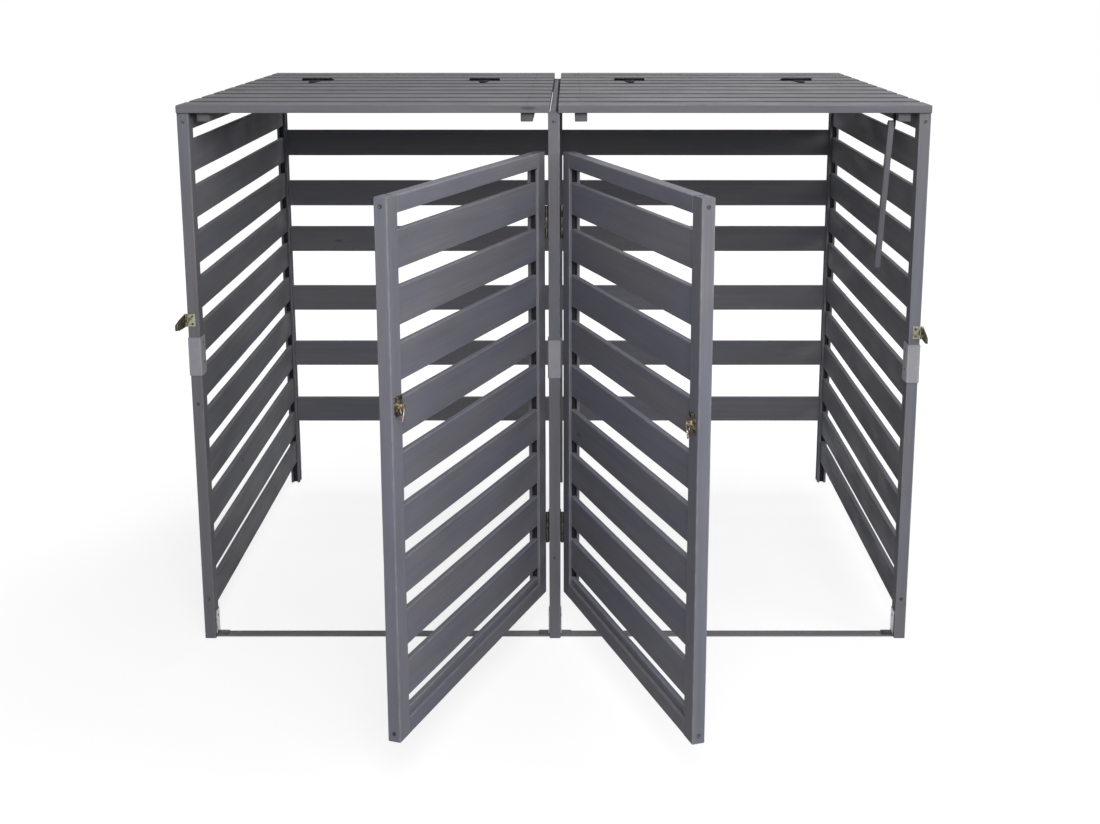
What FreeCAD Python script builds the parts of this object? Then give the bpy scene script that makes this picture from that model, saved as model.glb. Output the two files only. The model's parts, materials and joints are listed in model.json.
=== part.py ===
import FreeCAD, Part

import Sketcher

import math
import os

# Wheelie bin store for two large bins, standing side by side.
#
# Three front posts and three rear posts carry a slatted left side, a slatted right side
# and an open slatted back. Each bay has a framed and slatted door hung on the centre post,
# and a roof of boards whose front seven lift as a lid on two T hinges.
#
# X runs across the front to the right, Y runs from the front to the back, Z is up.
# The origin is the middle of the centre front post's foot. All lengths are millimetres.

SIZES = [
    # alias, value, what it is
    ("store_width", 1580, "outside of the left posts to outside of the right posts"),
    ("store_depth", 1120, "front of the front posts to back of the rear posts"),
    ("post_wide", 25, "post, across the front"),
    ("post_deep", 36, "post, front to back"),
    ("post_height", 1181, "posts, ground to top"),
    ("timber_ease", 1.6, "flat taken off the long corners of posts, stiles and rails"),
    ("slat_thick", 12, "thickness of every slat"),
    ("slat_ease", 1.2, "flat taken off the long corners of slats and boards"),
    ("housing_fit", 0.3, "play between a slat and the wall of its groove"),
    ("housing_deep", 10, "depth of the grooves that house the slats"),
    ("tongue", 8, "length of slat inside a groove"),
    ("side_slat_high", 68, "side slat, height"),
    ("side_slat_pitch", 100.2, "side slats, bottom to bottom"),
    ("side_slat_first", 149.4, "lowest side slat, bottom above ground"),
    ("slat_head_gap", 8, "least gap between the top slat and the rail above it"),
    ("rail_thick", 25, "side and rear rails, thickness"),
    ("top_rail_high", 36, "side, centre and rear top rails, height"),
    ("bottom_rail_high", 62, "side bottom rail, a board in the slats' grooves, height"),
    ("bottom_rail_up", 64, "side bottom rail, above ground"),
    ("centre_rail_shift", -2.5, "centre top rail, off the centre plane"),
    ("rear_slat_high", 72, "rear slat, height"),
    ("rear_row_1", 994.5, "lowest rear slats, bottom below the top of the posts"),
    ("rear_row_2", 825.5, "second rear slat row"),
    ("rear_row_3", 661, "third rear slat row"),
    ("rear_row_4", 488.5, "fourth rear slat row"),
    ("rear_row_5", 356.5, "fifth rear slat row"),
    ("rear_row_6", 213.5, "sixth rear slat row"),
    ("board_wide", 90, "roof board, front to back"),
    ("board_thick", 16, "roof board, thickness"),
    ("board_pitch", 115.6, "roof boards, front edge to front edge"),
    ("board_overhang", 5, "roof boards, past the posts in front and behind"),
    ("lid_boards", 7, "boards in a lid"),
    ("lid_gap", 18, "gap between the two halves of the roof"),
    ("batten_wide", 26, "batten under the roof boards, width"),
    ("batten_high", 19, "batten under the roof boards, height"),
    ("batten_setback", 9, "lid batten, back from the posts' front"),
    ("inner_batten", 57, "inner battens, centre plane to batten centre"),
    ("outer_batten", 54, "outer battens, outside of the store to batten centre"),
    ("door_edge_gap", 9.5, "gap between a shut door and the outer post"),
    ("door_bottom", 115, "door, bottom above ground"),
    ("door_head_gap", 80, "top of the door below the roof boards"),
    ("door_thick", 25, "door, thickness"),
    ("stile_wide", 40, "door stile, width"),
    ("door_top_rail_high", 31, "door top rail, height"),
    ("door_bottom_rail_high", 32, "door bottom rail, height"),
    ("door_strip_high", 15, "slat strip standing on the door bottom rail"),
    ("door_slat_high", 68, "door slat, height"),
    ("door_slat_pitch", 98.5, "door slats, bottom to bottom"),
    ("door_slat_first", 69, "lowest door slat, bottom above the door's bottom"),
    ("left_open", 70, "left door, degrees open"),
    ("right_open", 71.5, "right door, degrees open"),
    ("hinge_gap", 8, "gap between the centre post and a door"),
    ("hinge_high", 68, "butt hinge, height"),
    ("hinge_leaf_wide", 22, "butt hinge leaf, width"),
    ("leaf_thick", 1.5, "butt hinge leaf, thickness"),
    ("knuckle_radius", 3.5, "butt hinge knuckle, radius"),
    ("hinge_pin_radius", 1.6, "butt hinge pin, radius"),
    ("pin_play", 0.05, "play between a hinge pin and its bore, on the radius"),
    ("knuckle_play", 0.3, "end play between neighbouring knuckles"),
    ("leaf_clear", 0.4, "butt hinge leaf, clear of its knuckle"),
    ("pin_ahead", 1, "butt hinge pin, ahead of the post's front"),
    ("upper_hinge", 151, "upper butt hinge, centre below the door's top"),
    ("lower_hinge", 151, "lower butt hinge, centre above the door's bottom"),
    ("pin_head_high", 1.5, "butt hinge pin head, height"),
    ("pin_head_radius", 3, "butt hinge pin head, radius"),
    ("strap_thick", 2, "T hinge plate, thickness"),
    ("strap_long", 96, "T hinge tongue, length"),
    ("strap_root", 30, "T hinge tongue, width at the knuckle"),
    ("strap_tip", 15, "T hinge tongue, width at its round end"),
    ("cross_wide", 78, "T hinge cross leaf, width"),
    ("cross_deep", 27, "T hinge cross leaf, front to back"),
    ("strap_knuckle_radius", 4, "T hinge knuckle, radius"),
    ("strap_pin_radius", 2, "T hinge pin, radius"),
    ("strap_barrel", 30, "T hinge barrel, length"),
    ("strap_clear", 1, "T hinge plates, clear of the knuckle"),
    ("inner_strap", 188, "inner T hinges, centre plane to hinge centre"),
    ("outer_strap", 167, "outer T hinges, outside of the store to hinge centre"),
    ("prop_across", 12, "prop stick, width"),
    ("prop_deep", 14, "prop stick, front to back"),
    ("prop_long", 333, "prop stick, pivot to lower end"),
    ("prop_lean", 14, "prop stick, degrees back from hanging"),
    ("prop_back", 42, "prop pivot, back from the posts' front"),
    ("prop_pivot_down", 26, "prop pivot, below the roof boards"),
    ("prop_plate_thick", 2, "prop bracket, thickness"),
    ("prop_plate_deep", 20, "prop bracket, front to back"),
    ("prop_plate_drop", 1, "prop bracket's top, below the roof boards"),
    ("prop_pin_radius", 2.5, "prop pivot pin, radius"),
    ("prop_pin_end", 1.7, "prop pivot pin, standing out past the stick"),
    ("prop_clear", 0.3, "gap between the prop stick and its bracket"),
    ("hasp_plate_wide", 17, "hasp plate on the post, width"),
    ("hasp_high", 28, "hasp plate, height"),
    ("hasp_thick", 1.5, "hasp plate and strap, thickness"),
    ("hasp_gap", 0.4, "play between the closed hasp strap and its plate"),
    ("hasp_long", 76, "hasp strap, barrel to tip"),
    ("hasp_root", 29, "hasp strap, height at the barrel"),
    ("hasp_shoulder", 47, "hasp strap, barrel to shoulder"),
    ("hasp_shoulder_high", 24.4, "hasp strap, height at the shoulder"),
    ("hasp_tip", 13, "hasp strap, height at the tip"),
    ("hasp_droop", 0.8, "middle of the hasp strap's tip, below the barrel's middle"),
    ("hasp_tip_ease", 2.5, "flat taken off the hasp strap's tip"),
    ("hasp_edge_back", 0.1, "hasp plate, back from the post's side"),
    ("hasp_root_back", 0.6, "hasp strap, back from the post's side"),
    ("hasp_barrel_clear", 0.2, "hasp barrel, clear of the post's side"),
    ("hasp_barrel_radius", 3, "hasp barrel, radius"),
    ("hasp_pin_radius", 1.25, "hasp pin, radius"),
    ("left_hasp_open", 92, "left hasp strap, degrees swung open"),
    ("right_hasp_open", 85, "right hasp strap, degrees swung open"),
    ("left_latch_up", 737, "left latch, centre above ground"),
    ("right_latch_up", 709, "right latch, centre above ground"),
    ("keep_wide", 30, "keep plate on the door, width"),
    ("keep_high", 36, "keep plate on the door, height"),
    ("keep_in", 23, "keep plate, centre to the door's free edge"),
    ("staple_out", 13, "staple on the keep plate, standing out of the door"),
    ("staple_high", 9, "staple, height"),
    ("staple_wire", 3, "staple, thickness"),
    ("eye_in", 4.5, "eye in the staple, in from its outer end"),
    ("keep_screw_in", 5, "keep plate screws, in from the plate's edges"),
    ("slot_play", 1.2, "play all round the staple in the hasp's slot"),
    ("link_wire", 1.3, "drop link, wire radius"),
    ("link_wide", 18, "drop link, width at the top"),
    ("link_long", 27, "drop link, length"),
    ("threshold_up", 1, "threshold bar, a flat steel strip, above ground"),
    ("threshold_thick", 3, "threshold bar, thickness"),
    ("threshold_deep", 27, "threshold bar, front to back"),
    ("threshold_back", 7, "threshold bar, back from the posts' front"),
    ("threshold_ease", 0.4, "flat taken off the threshold bar's long edges"),
    ("bracket_thick", 2, "threshold bracket, thickness"),
    ("bracket_high", 59, "threshold bracket, height"),
    ("bracket_foot", 24, "threshold bracket, foot length on the bar"),
    ("bracket_hole_up", 48, "threshold bracket hole, above ground"),
    ("bracket_hole_radius", 2.6, "threshold bracket hole, radius"),
    ("sleeve_thick", 2, "post sleeve, sheet thickness"),
    ("sleeve_high", 85, "post sleeve, height"),
    ("sleeve_deep", 38, "post sleeve, length of its sides"),
    ("left_sleeve_up", 613, "left sleeve, bottom above ground"),
    ("centre_sleeve_up", 607, "centre sleeve, bottom above ground"),
    ("right_sleeve_up", 597, "right sleeve, bottom above ground"),
    ("left_screw_up", 549, "left post's middle screw, above ground"),
    ("centre_screw_up", 192, "centre post's low screw, above ground"),
    ("outer_screw_up", 95, "outer posts' low screws, above ground"),
    ("screw_radius", 3.6, "screw head, radius"),
    ("screw_proud", 0.8, "screw head, standing out"),
    ("screw_gap", 0.02, "gap between a screw head and the wood under it"),
    ("reach", 1, "how far a drill runs on, and a web enters its neighbour"),
]


class Size:
    """A length or an angle: its number, and the sheet formula that the number comes from."""

    def __init__(self, number, formula):
        self.number = number
        self.formula = formula

    def __add__(self, other):
        other = as_size(other)
        return Size(self.number + other.number, f"({self.formula} + {other.formula})")

    def __radd__(self, other):
        return as_size(other) + self

    def __sub__(self, other):
        other = as_size(other)
        return Size(self.number - other.number, f"({self.formula} - {other.formula})")

    def __rsub__(self, other):
        return as_size(other) - self

    def __mul__(self, other):
        other = as_size(other)
        return Size(self.number * other.number, f"({self.formula} * {other.formula})")

    def __rmul__(self, other):
        return as_size(other) * self

    def __truediv__(self, other):
        other = as_size(other)
        return Size(self.number / other.number, f"({self.formula} / {other.formula})")

    def __neg__(self):
        return Size(-self.number, f"(0 - {self.formula})")


def as_size(thing):
    """A plain number as a Size, so that both mix freely."""
    if isinstance(thing, Size):
        return thing
    return Size(float(thing), f"({float(thing)!r})")


def sine(angle):
    """The sine of a Size in degrees."""
    return Size(math.sin(math.radians(angle.number)), f"sin({angle.formula})")


def cosine(angle):
    """The cosine of a Size in degrees."""
    return Size(math.cos(math.radians(angle.number)), f"cos({angle.formula})")


def copies(space, pitch):
    """How many pieces fit: one, and one more for each whole pitch in the space."""
    steps = space / pitch
    return Size(math.floor(steps.number) + 1, f"(floor({steps.formula}) + 1)")


def nearest_copies(space, pitch):
    """How many pieces come nearest to filling a space."""
    steps = space / pitch
    return Size(round(steps.number) + 1, f"(round({steps.formula}) + 1)")


document = FreeCAD.newDocument("bin_store")
sheet = document.addObject("Spreadsheet::Sheet", "sizes")
for row, (alias, amount, meaning) in enumerate(SIZES, start=1):
    sheet.set(f"A{row}", str(amount))
    sheet.set(f"B{row}", meaning)
    sheet.setAlias(f"A{row}", alias)
document.recompute()
size = {alias: Size(float(amount), f"sizes.{alias}") for alias, amount, meaning in SIZES}

LEFT = -1
RIGHT = 1
SIDES = ((LEFT, "left"), (RIGHT, "right"))
parts = []

half = size["store_width"] / 2
front = -size["post_deep"] / 2
back = front + size["store_depth"]
half_post = size["post_wide"] / 2
rear_post_front = back - size["post_deep"]
groove = size["slat_thick"] + 2 * size["housing_fit"]
roof_under = size["post_height"]
roof_top = roof_under + size["board_thick"]


def span(side, inner, outer):
    """Low and high X of something that lies inner to outer away from the centre plane."""
    if side == RIGHT:
        return as_size(inner), as_size(outer)
    return -as_size(outer), -as_size(inner)


def keep(thing, label):
    """Give a finished piece its name and put it on the list that is written out."""
    thing.Label = label
    parts.append(thing)
    return thing


def outline(x0, y0, x1, y1, ease, grooves=None):
    """Section of a length of timber: a rectangle with its corners taken off.

    A groove is given for the side that it is cut in, as its centre, width and depth.
    """
    grooves = grooves or {}
    points = [(x0 + ease, y0)]
    if "front" in grooves:
        centre, wide, deep = grooves["front"]
        low, high = centre - wide / 2, centre + wide / 2
        points += [(low, y0), (low, y0 + deep), (high, y0 + deep), (high, y0)]
    points += [(x1 - ease, y0), (x1, y0 + ease)]
    if "right" in grooves:
        centre, wide, deep = grooves["right"]
        low, high = centre - wide / 2, centre + wide / 2
        points += [(x1, low), (x1 - deep, low), (x1 - deep, high), (x1, high)]
    points += [(x1, y1 - ease), (x1 - ease, y1)]
    if "back" in grooves:
        centre, wide, deep = grooves["back"]
        low, high = centre - wide / 2, centre + wide / 2
        points += [(high, y1), (high, y1 - deep), (low, y1 - deep), (low, y1)]
    points += [(x0 + ease, y1), (x0, y1 - ease)]
    if "left" in grooves:
        centre, wide, deep = grooves["left"]
        low, high = centre - wide / 2, centre + wide / 2
        points += [(x0, high), (x0 + deep, high), (x0 + deep, low), (x0, low)]
    points += [(x0, y0 + ease)]
    return points


def origin_feature(body, role):
    """One of the planes or axes of a body's own origin."""
    return next(f for f in body.Origin.OriginFeatures if f.Role == role)


def draw(body, name, role, loops, start):
    """A sketch of closed straight-sided loops, each corner tied to the sheet."""
    sketch = body.newObject("Sketcher::SketchObject", name)
    sketch.AttachmentSupport = [(origin_feature(body, role), "")]
    sketch.MapMode = "FlatFace"
    sketch.AttachmentOffset = FreeCAD.Placement(
        FreeCAD.Vector(0, 0, start.number), FreeCAD.Rotation())
    sketch.setExpression("AttachmentOffset.Base.z", start.formula)
    for loop in loops:
        corners = [(as_size(x), as_size(y)) for x, y in loop]
        spots = [FreeCAD.Vector(x.number, y.number, 0) for x, y in corners]
        first = sketch.GeometryCount
        count = len(spots)
        for here in range(count):
            line = Part.LineSegment(spots[here], spots[(here + 1) % count])
            sketch.addGeometry(line, False)
        for here in range(count):
            following = first + (here + 1) % count
            sketch.addConstraint(Sketcher.Constraint("Coincident", first + here, 2, following, 1))
        for here, (x, y) in enumerate(corners):
            for kind, distance in (("DistanceX", x), ("DistanceY", y)):
                index = sketch.addConstraint(
                    Sketcher.Constraint(kind, -1, 1, first + here, 1, distance.number))
                sketch.setExpression(f"Constraints[{index}]", distance.formula)
    return sketch


def lengths(label, run, loops, start, long, pattern=None):
    """Lengths of timber with the given sections, running along X, Y or Z from start.

    A pattern is an axis, a pitch and a count, and repeats what was drawn.
    """
    body = document.addObject("PartDesign::Body", label)
    body.AllowCompound = True
    role = {"x": "YZ_Plane", "y": "XZ_Plane", "z": "XY_Plane"}[run]
    toward = -1 if run == "y" else 1
    section = draw(body, label + "_section", role, loops, as_size(start) * toward)
    section.Visibility = False
    pad = body.newObject("PartDesign::Pad", label + "_length")
    pad.Profile = section
    pad.Length = as_size(long).number
    pad.setExpression("Length", as_size(long).formula)
    pad.Reversed = run == "y"
    body.Tip = pad
    if pattern:
        axis, pitch, count = pattern
        row = body.newObject("PartDesign::LinearPattern", label + "_row")
        row.Originals = [pad]
        row.Direction = (origin_feature(body, axis), [""])
        row.Length = (pitch * (count - 1)).number
        row.setExpression("Length", (pitch * (count - 1)).formula)
        row.Occurrences = int(count.number)
        row.setExpression("Occurrences", count.formula)
        body.Tip = row
    return body


def place(thing, x, y, z):
    """Put an object at a point tied to the sheet."""
    turn = thing.Placement.Rotation
    x, y, z = as_size(x), as_size(y), as_size(z)
    thing.Placement = FreeCAD.Placement(FreeCAD.Vector(x.number, y.number, z.number), turn)
    thing.setExpression("Placement.Base.x", x.formula)
    thing.setExpression("Placement.Base.y", y.formula)
    thing.setExpression("Placement.Base.z", z.formula)


def box(name, x0, y0, z0, x1, y1, z1):
    """A plain block between two corners."""
    block = document.addObject("Part::Box", name)
    for prop, low, high in (("Length", x0, x1), ("Width", y0, y1), ("Height", z0, z1)):
        extent = as_size(high) - low
        setattr(block, prop, extent.number)
        block.setExpression(prop, extent.formula)
    place(block, x0, y0, z0)
    return block


TURNS = {
    "x": FreeCAD.Rotation(FreeCAD.Vector(0, 1, 0), 90),
    "y": FreeCAD.Rotation(FreeCAD.Vector(1, 0, 0), -90),
    "z": FreeCAD.Rotation(),
}


def rod(name, radius, long, x, y, z, run):
    """A round bar from a point, running along X, Y or Z."""
    bar = document.addObject("Part::Cylinder", name)
    bar.Radius = as_size(radius).number
    bar.setExpression("Radius", as_size(radius).formula)
    bar.Height = as_size(long).number
    bar.setExpression("Height", as_size(long).formula)
    bar.Placement = FreeCAD.Placement(FreeCAD.Vector(), TURNS[run])
    place(bar, x, y, z)
    return bar


def fuse(name, pieces):
    """Several overlapping solids made one."""
    joined = document.addObject("Part::MultiFuse", name)
    joined.Shapes = pieces
    joined.Refine = True
    return joined


def cut(name, base, tool):
    """A solid with another taken out of it."""
    rest = document.addObject("Part::Cut", name)
    rest.Base = base
    rest.Tool = tool
    return rest


def group(name, pieces):
    """Separate solids kept as one named piece."""
    together = document.addObject("Part::Compound", name)
    together.Links = pieces
    return together


def turn_about(thing, angle, x, y):
    """Turn a finished piece about a vertical line by an angle tied to the sheet."""
    slide_x = x - (x * cosine(angle) - y * sine(angle))
    slide_y = y - (x * sine(angle) + y * cosine(angle))
    thing.Placement = FreeCAD.Placement(
        FreeCAD.Vector(slide_x.number, slide_y.number, 0),
        FreeCAD.Rotation(FreeCAD.Vector(0, 0, 1), angle.number))
    thing.setExpression("Placement.Rotation.Angle", f"{angle.formula} * 1 deg")
    thing.setExpression("Placement.Base.x", slide_x.formula)
    thing.setExpression("Placement.Base.y", slide_y.formula)


def screw_heads(name, spots, run):
    """Low round screw heads standing on a face, each given by the point under its middle."""
    heads = []
    for number, (x, y, z, sign) in enumerate(spots, start=1):
        lift = size["screw_gap"] * sign
        sink = size["screw_proud"] * min(sign, 0)
        shift = {"x": (lift + sink, 0, 0), "y": (0, lift + sink, 0)}[run]
        heads.append(rod(f"{name}_{number}", size["screw_radius"], size["screw_proud"],
                         x + shift[0], y + shift[1], z, run))
    return heads


# Posts

def post(label, x_low, y_low, grooves):
    """A post of grooved timber, from the ground to the underside of the roof."""
    section = outline(x_low, y_low, x_low + size["post_wide"], y_low + size["post_deep"],
                      size["timber_ease"], grooves)
    return keep(lengths(label, "z", [section], as_size(0), size["post_height"]), label)


def make_posts():
    """Six posts, grooved where slats and the centre rail enter them."""
    deep = size["housing_deep"]
    rear_slat_middle = rear_post_front + size["post_deep"] / 2
    for side, word in SIDES:
        low, high = span(side, half - size["post_wide"], half)
        middle = (low + high) / 2
        post(f"{word}_front_post", low, front, {"back": (middle, groove, deep)})
        inner_face = "right" if side == LEFT else "left"
        post(f"{word}_rear_post", low, rear_post_front,
             {"front": (middle, groove, deep), inner_face: (rear_slat_middle, groove, deep)})
    rail_middle = size["centre_rail_shift"]
    post("centre_front_post", -half_post, front, {"back": (rail_middle, groove, deep)})
    shallow = size["tongue"]
    post("centre_rear_post", -half_post, rear_post_front,
         {"front": (rail_middle, groove, deep),
          "left": (rear_slat_middle, groove, shallow),
          "right": (rear_slat_middle, groove, shallow)})


# Side panels

def make_sides():
    """Rails and housed slats between the front and rear posts of each side."""
    rail_start = front + size["post_deep"]
    rail_long = size["store_depth"] - 2 * size["post_deep"]
    for side, word in SIDES:
        low, high = span(side, half - size["post_wide"], half)
        middle = (low + high) / 2
        slat_low = middle - size["slat_thick"] / 2
        slat_high = middle + size["slat_thick"] / 2
        top = outline(low, roof_under - size["top_rail_high"], high, roof_under,
                      size["timber_ease"])
        keep(lengths(f"{word}_top_rail", "y", [top], rail_start, rail_long),
             f"{word}_top_rail")
        slat_start = rail_start - size["tongue"]
        slat_long = rail_long + 2 * size["tongue"]
        bottom = outline(slat_low, size["bottom_rail_up"], slat_high,
                         size["bottom_rail_up"] + size["bottom_rail_high"], size["slat_ease"])
        keep(lengths(f"{word}_bottom_rail", "y", [bottom], slat_start, slat_long),
             f"{word}_bottom_rail")
        first_top = size["side_slat_first"] + size["side_slat_high"]
        slat = outline(slat_low, size["side_slat_first"], slat_high, first_top,
                       size["slat_ease"])
        space = roof_under - size["top_rail_high"] - size["slat_head_gap"] - first_top
        count = copies(space, size["side_slat_pitch"])
        keep(lengths(f"{word}_side_slats", "y", [slat], slat_start, slat_long,
                     ("Z_Axis", size["side_slat_pitch"], count)),
             f"{word}_side_slats")


# Back

def make_back():
    """Rear slats housed in the rear posts, the rear rails and the centre rail."""
    middle = rear_post_front + size["post_deep"] / 2
    slat_front = middle - size["slat_thick"] / 2
    slat_back = middle + size["slat_thick"] / 2
    rows = [roof_under - size[f"rear_row_{number}"] for number in range(1, 7)]
    sections = [outline(slat_front, row, slat_back, row + size["rear_slat_high"],
                        size["slat_ease"]) for row in rows]
    bay_inner = half_post
    bay_outer = half - size["post_wide"]
    centre_tongue = size["tongue"] - size["housing_fit"]
    for side, word in SIDES:
        low, high = span(side, bay_inner - centre_tongue, bay_outer + size["tongue"])
        keep(lengths(f"{word}_rear_slats", "x", sections, low, high - low),
             f"{word}_rear_slats")
    rail_front = middle - size["rail_thick"] / 2
    rail_back = middle + size["rail_thick"] / 2
    rail = outline(rail_front, roof_under - size["top_rail_high"], rail_back, roof_under,
                   size["timber_ease"])
    rails = []
    for side, word in SIDES:
        low, high = span(side, bay_inner, bay_outer)
        rails.append(lengths(f"{word}_rear_rail", "x", [rail], low, high - low))
    keep(group("rear_top_rails", rails), "rear_top_rails")
    centre = outline(size["centre_rail_shift"] - size["slat_thick"] / 2,
                     roof_under - size["top_rail_high"],
                     size["centre_rail_shift"] + size["slat_thick"] / 2,
                     roof_under, size["slat_ease"])
    centre_start = front + size["post_deep"] - size["tongue"]
    centre_long = size["store_depth"] - 2 * size["post_deep"] + 2 * size["tongue"]
    keep(lengths("centre_top_rail", "y", [centre], centre_start, centre_long),
         "centre_top_rail")


# Roof

def batten_spans(side):
    """Low and high X of the inner and the outer batten of one half of the roof."""
    reach = size["batten_wide"] / 2
    return [span(side, middle - reach, middle + reach)
            for middle in (size["inner_batten"], half - size["outer_batten"])]


roof_front = front - size["board_overhang"]
lid_back = roof_front + size["board_pitch"] * (size["lid_boards"] - 1) + size["board_wide"]
fixed_front = roof_front + size["board_pitch"] * size["lid_boards"]
fixed_space = back + size["board_overhang"] - size["board_wide"] - fixed_front
fixed_boards = nearest_copies(fixed_space, size["board_pitch"])
hinge_line = (lid_back + fixed_front) / 2
hinge_up = roof_top + size["strap_thick"]


def make_roof():
    """Seven boards on battens that lift as a lid, and three fixed boards, on each side."""
    fixed_battens = []
    for side, word in SIDES:
        low, high = span(side, size["lid_gap"] / 2, half)
        for kind, start, count in (("lid", roof_front, size["lid_boards"]),
                                   ("fixed", fixed_front, fixed_boards)):
            board = outline(start, roof_under, start + size["board_wide"], roof_top,
                            size["slat_ease"])
            label = f"{word}_{kind}_boards"
            keep(lengths(label, "x", [board], low, high - low,
                         ("Y_Axis", size["board_pitch"], count)), label)
        under = roof_under - size["batten_high"]
        sections = [outline(near, under, far, roof_under, size["timber_ease"])
                    for near, far in batten_spans(side)]
        lid_start = front + size["batten_setback"]
        label = f"{word}_lid_battens"
        keep(lengths(label, "y", sections, lid_start, lid_back - lid_start), label)
        rail_front = rear_post_front + (size["post_deep"] - size["rail_thick"]) / 2
        fixed_battens.append(lengths(f"{word}_fixed_batten_pair", "y", sections,
                                     fixed_front, rail_front - fixed_front))
    keep(group("fixed_roof_battens", fixed_battens), "fixed_roof_battens")


# T hinges

def tongue_plate(name, middle):
    """The long leaf of a T hinge: it tapers from the knuckle to a round end."""
    body = document.addObject("PartDesign::Body", name)
    root_at = hinge_line - size["strap_knuckle_radius"] - size["strap_clear"]
    bend_at = hinge_line - size["strap_long"] + size["strap_tip"] / 2
    reach_root = size["strap_root"] / 2
    reach_tip = size["strap_tip"] / 2
    corners = [(middle - reach_root, root_at), (middle - reach_tip, bend_at),
               (middle + reach_tip, bend_at), (middle + reach_root, root_at)]
    sketch = draw(body, name + "_outline", "XY_Plane", [corners], roof_top)
    pad = body.newObject("PartDesign::Pad", name + "_plate")
    pad.Profile = sketch
    pad.Length = size["strap_thick"].number
    pad.setExpression("Length", size["strap_thick"].formula)
    body.Tip = pad
    end = rod(name + "_end", reach_tip, size["strap_thick"], middle, bend_at, roof_top, "z")
    return [body, end], root_at


def make_lid_hinges():
    """Cross leaves on the first fixed board, tongues on the last lid board, and pins."""
    crosses = []
    pins = []
    radius = size["strap_knuckle_radius"]
    bore = size["strap_pin_radius"] + size["pin_play"]
    half_barrel = size["strap_barrel"] / 2
    reach = size["reach"]
    inner_knuckle = size["strap_barrel"] / 4 - size["knuckle_play"] / 2
    outer_knuckle = size["strap_barrel"] / 4 + size["knuckle_play"] / 2
    for side, word in SIDES:
        straps = []
        for spot, out in (("inner", size["inner_strap"]), ("outer", half - size["outer_strap"])):
            middle = side * out
            name = f"{word}_{spot}"
            hole = rod(name + "_bore", bore, size["strap_barrel"] + 2 * reach,
                       middle - half_barrel - reach, hinge_line, hinge_up, "x")
            plates, root_at = tongue_plate(name + "_tongue", middle)
            middle_knuckle = rod(name + "_mid_knuckle", radius, 2 * inner_knuckle,
                                 middle - inner_knuckle, hinge_line, hinge_up, "x")
            link = box(name + "_tongue_root", middle - inner_knuckle, root_at - reach, roof_top,
                       middle + inner_knuckle, hinge_line, hinge_up)
            straps.append(cut(name + "_strap", fuse(name + "_strap_blank",
                                                    plates + [middle_knuckle, link]), hole))
            leaf_start = hinge_line + radius + size["strap_clear"]
            pieces = [box(name + "_cross", middle - size["cross_wide"] / 2, leaf_start,
                          roof_top, middle + size["cross_wide"] / 2,
                          leaf_start + size["cross_deep"], hinge_up)]
            for end, low, high in (("a", -half_barrel, -outer_knuckle),
                                   ("b", outer_knuckle, half_barrel)):
                pieces.append(rod(f"{name}_knuckle_{end}", radius, high - low,
                                  middle + low, hinge_line, hinge_up, "x"))
                pieces.append(box(f"{name}_web_{end}", middle + low, hinge_line, roof_top,
                                  middle + high, leaf_start + reach, hinge_up))
            bored = rod(name + "_cross_bore", bore, size["strap_barrel"] + 2 * reach,
                        middle - half_barrel - reach, hinge_line, hinge_up, "x")
            crosses.append(cut(name + "_cross_leaf", fuse(name + "_cross_blank", pieces),
                               bored))
            pins.append(rod(name + "_pin", size["strap_pin_radius"], size["strap_barrel"],
                            middle - half_barrel, hinge_line, hinge_up, "x"))
        keep(group(f"{word}_lid_straps", straps), f"{word}_lid_straps")
    keep(group("lid_hinge_leaves", crosses), "lid_hinge_leaves")
    keep(group("lid_hinge_pins", pins), "lid_hinge_pins")


# Doors

pin_out = half_post + size["hinge_gap"] / 2
pin_at = front - size["pin_ahead"]
door_near = half_post + size["hinge_gap"]
door_far = half - size["post_wide"] - size["door_edge_gap"]
door_top = roof_under - size["door_head_gap"]
door_height = door_top - size["door_bottom"]
hinge_middle = {"upper": door_top - size["upper_hinge"],
                "lower": size["door_bottom"] + size["lower_hinge"]}
door_turn = {LEFT: size["left_open"], RIGHT: -size["right_open"]}
latch_up = {LEFT: size["left_latch_up"], RIGHT: size["right_latch_up"]}


def swing(thing, side):
    """Turn a piece of a closed door to where the door stands open."""
    turn_about(thing, door_turn[side], side * pin_out, pin_at)
    return thing


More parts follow.
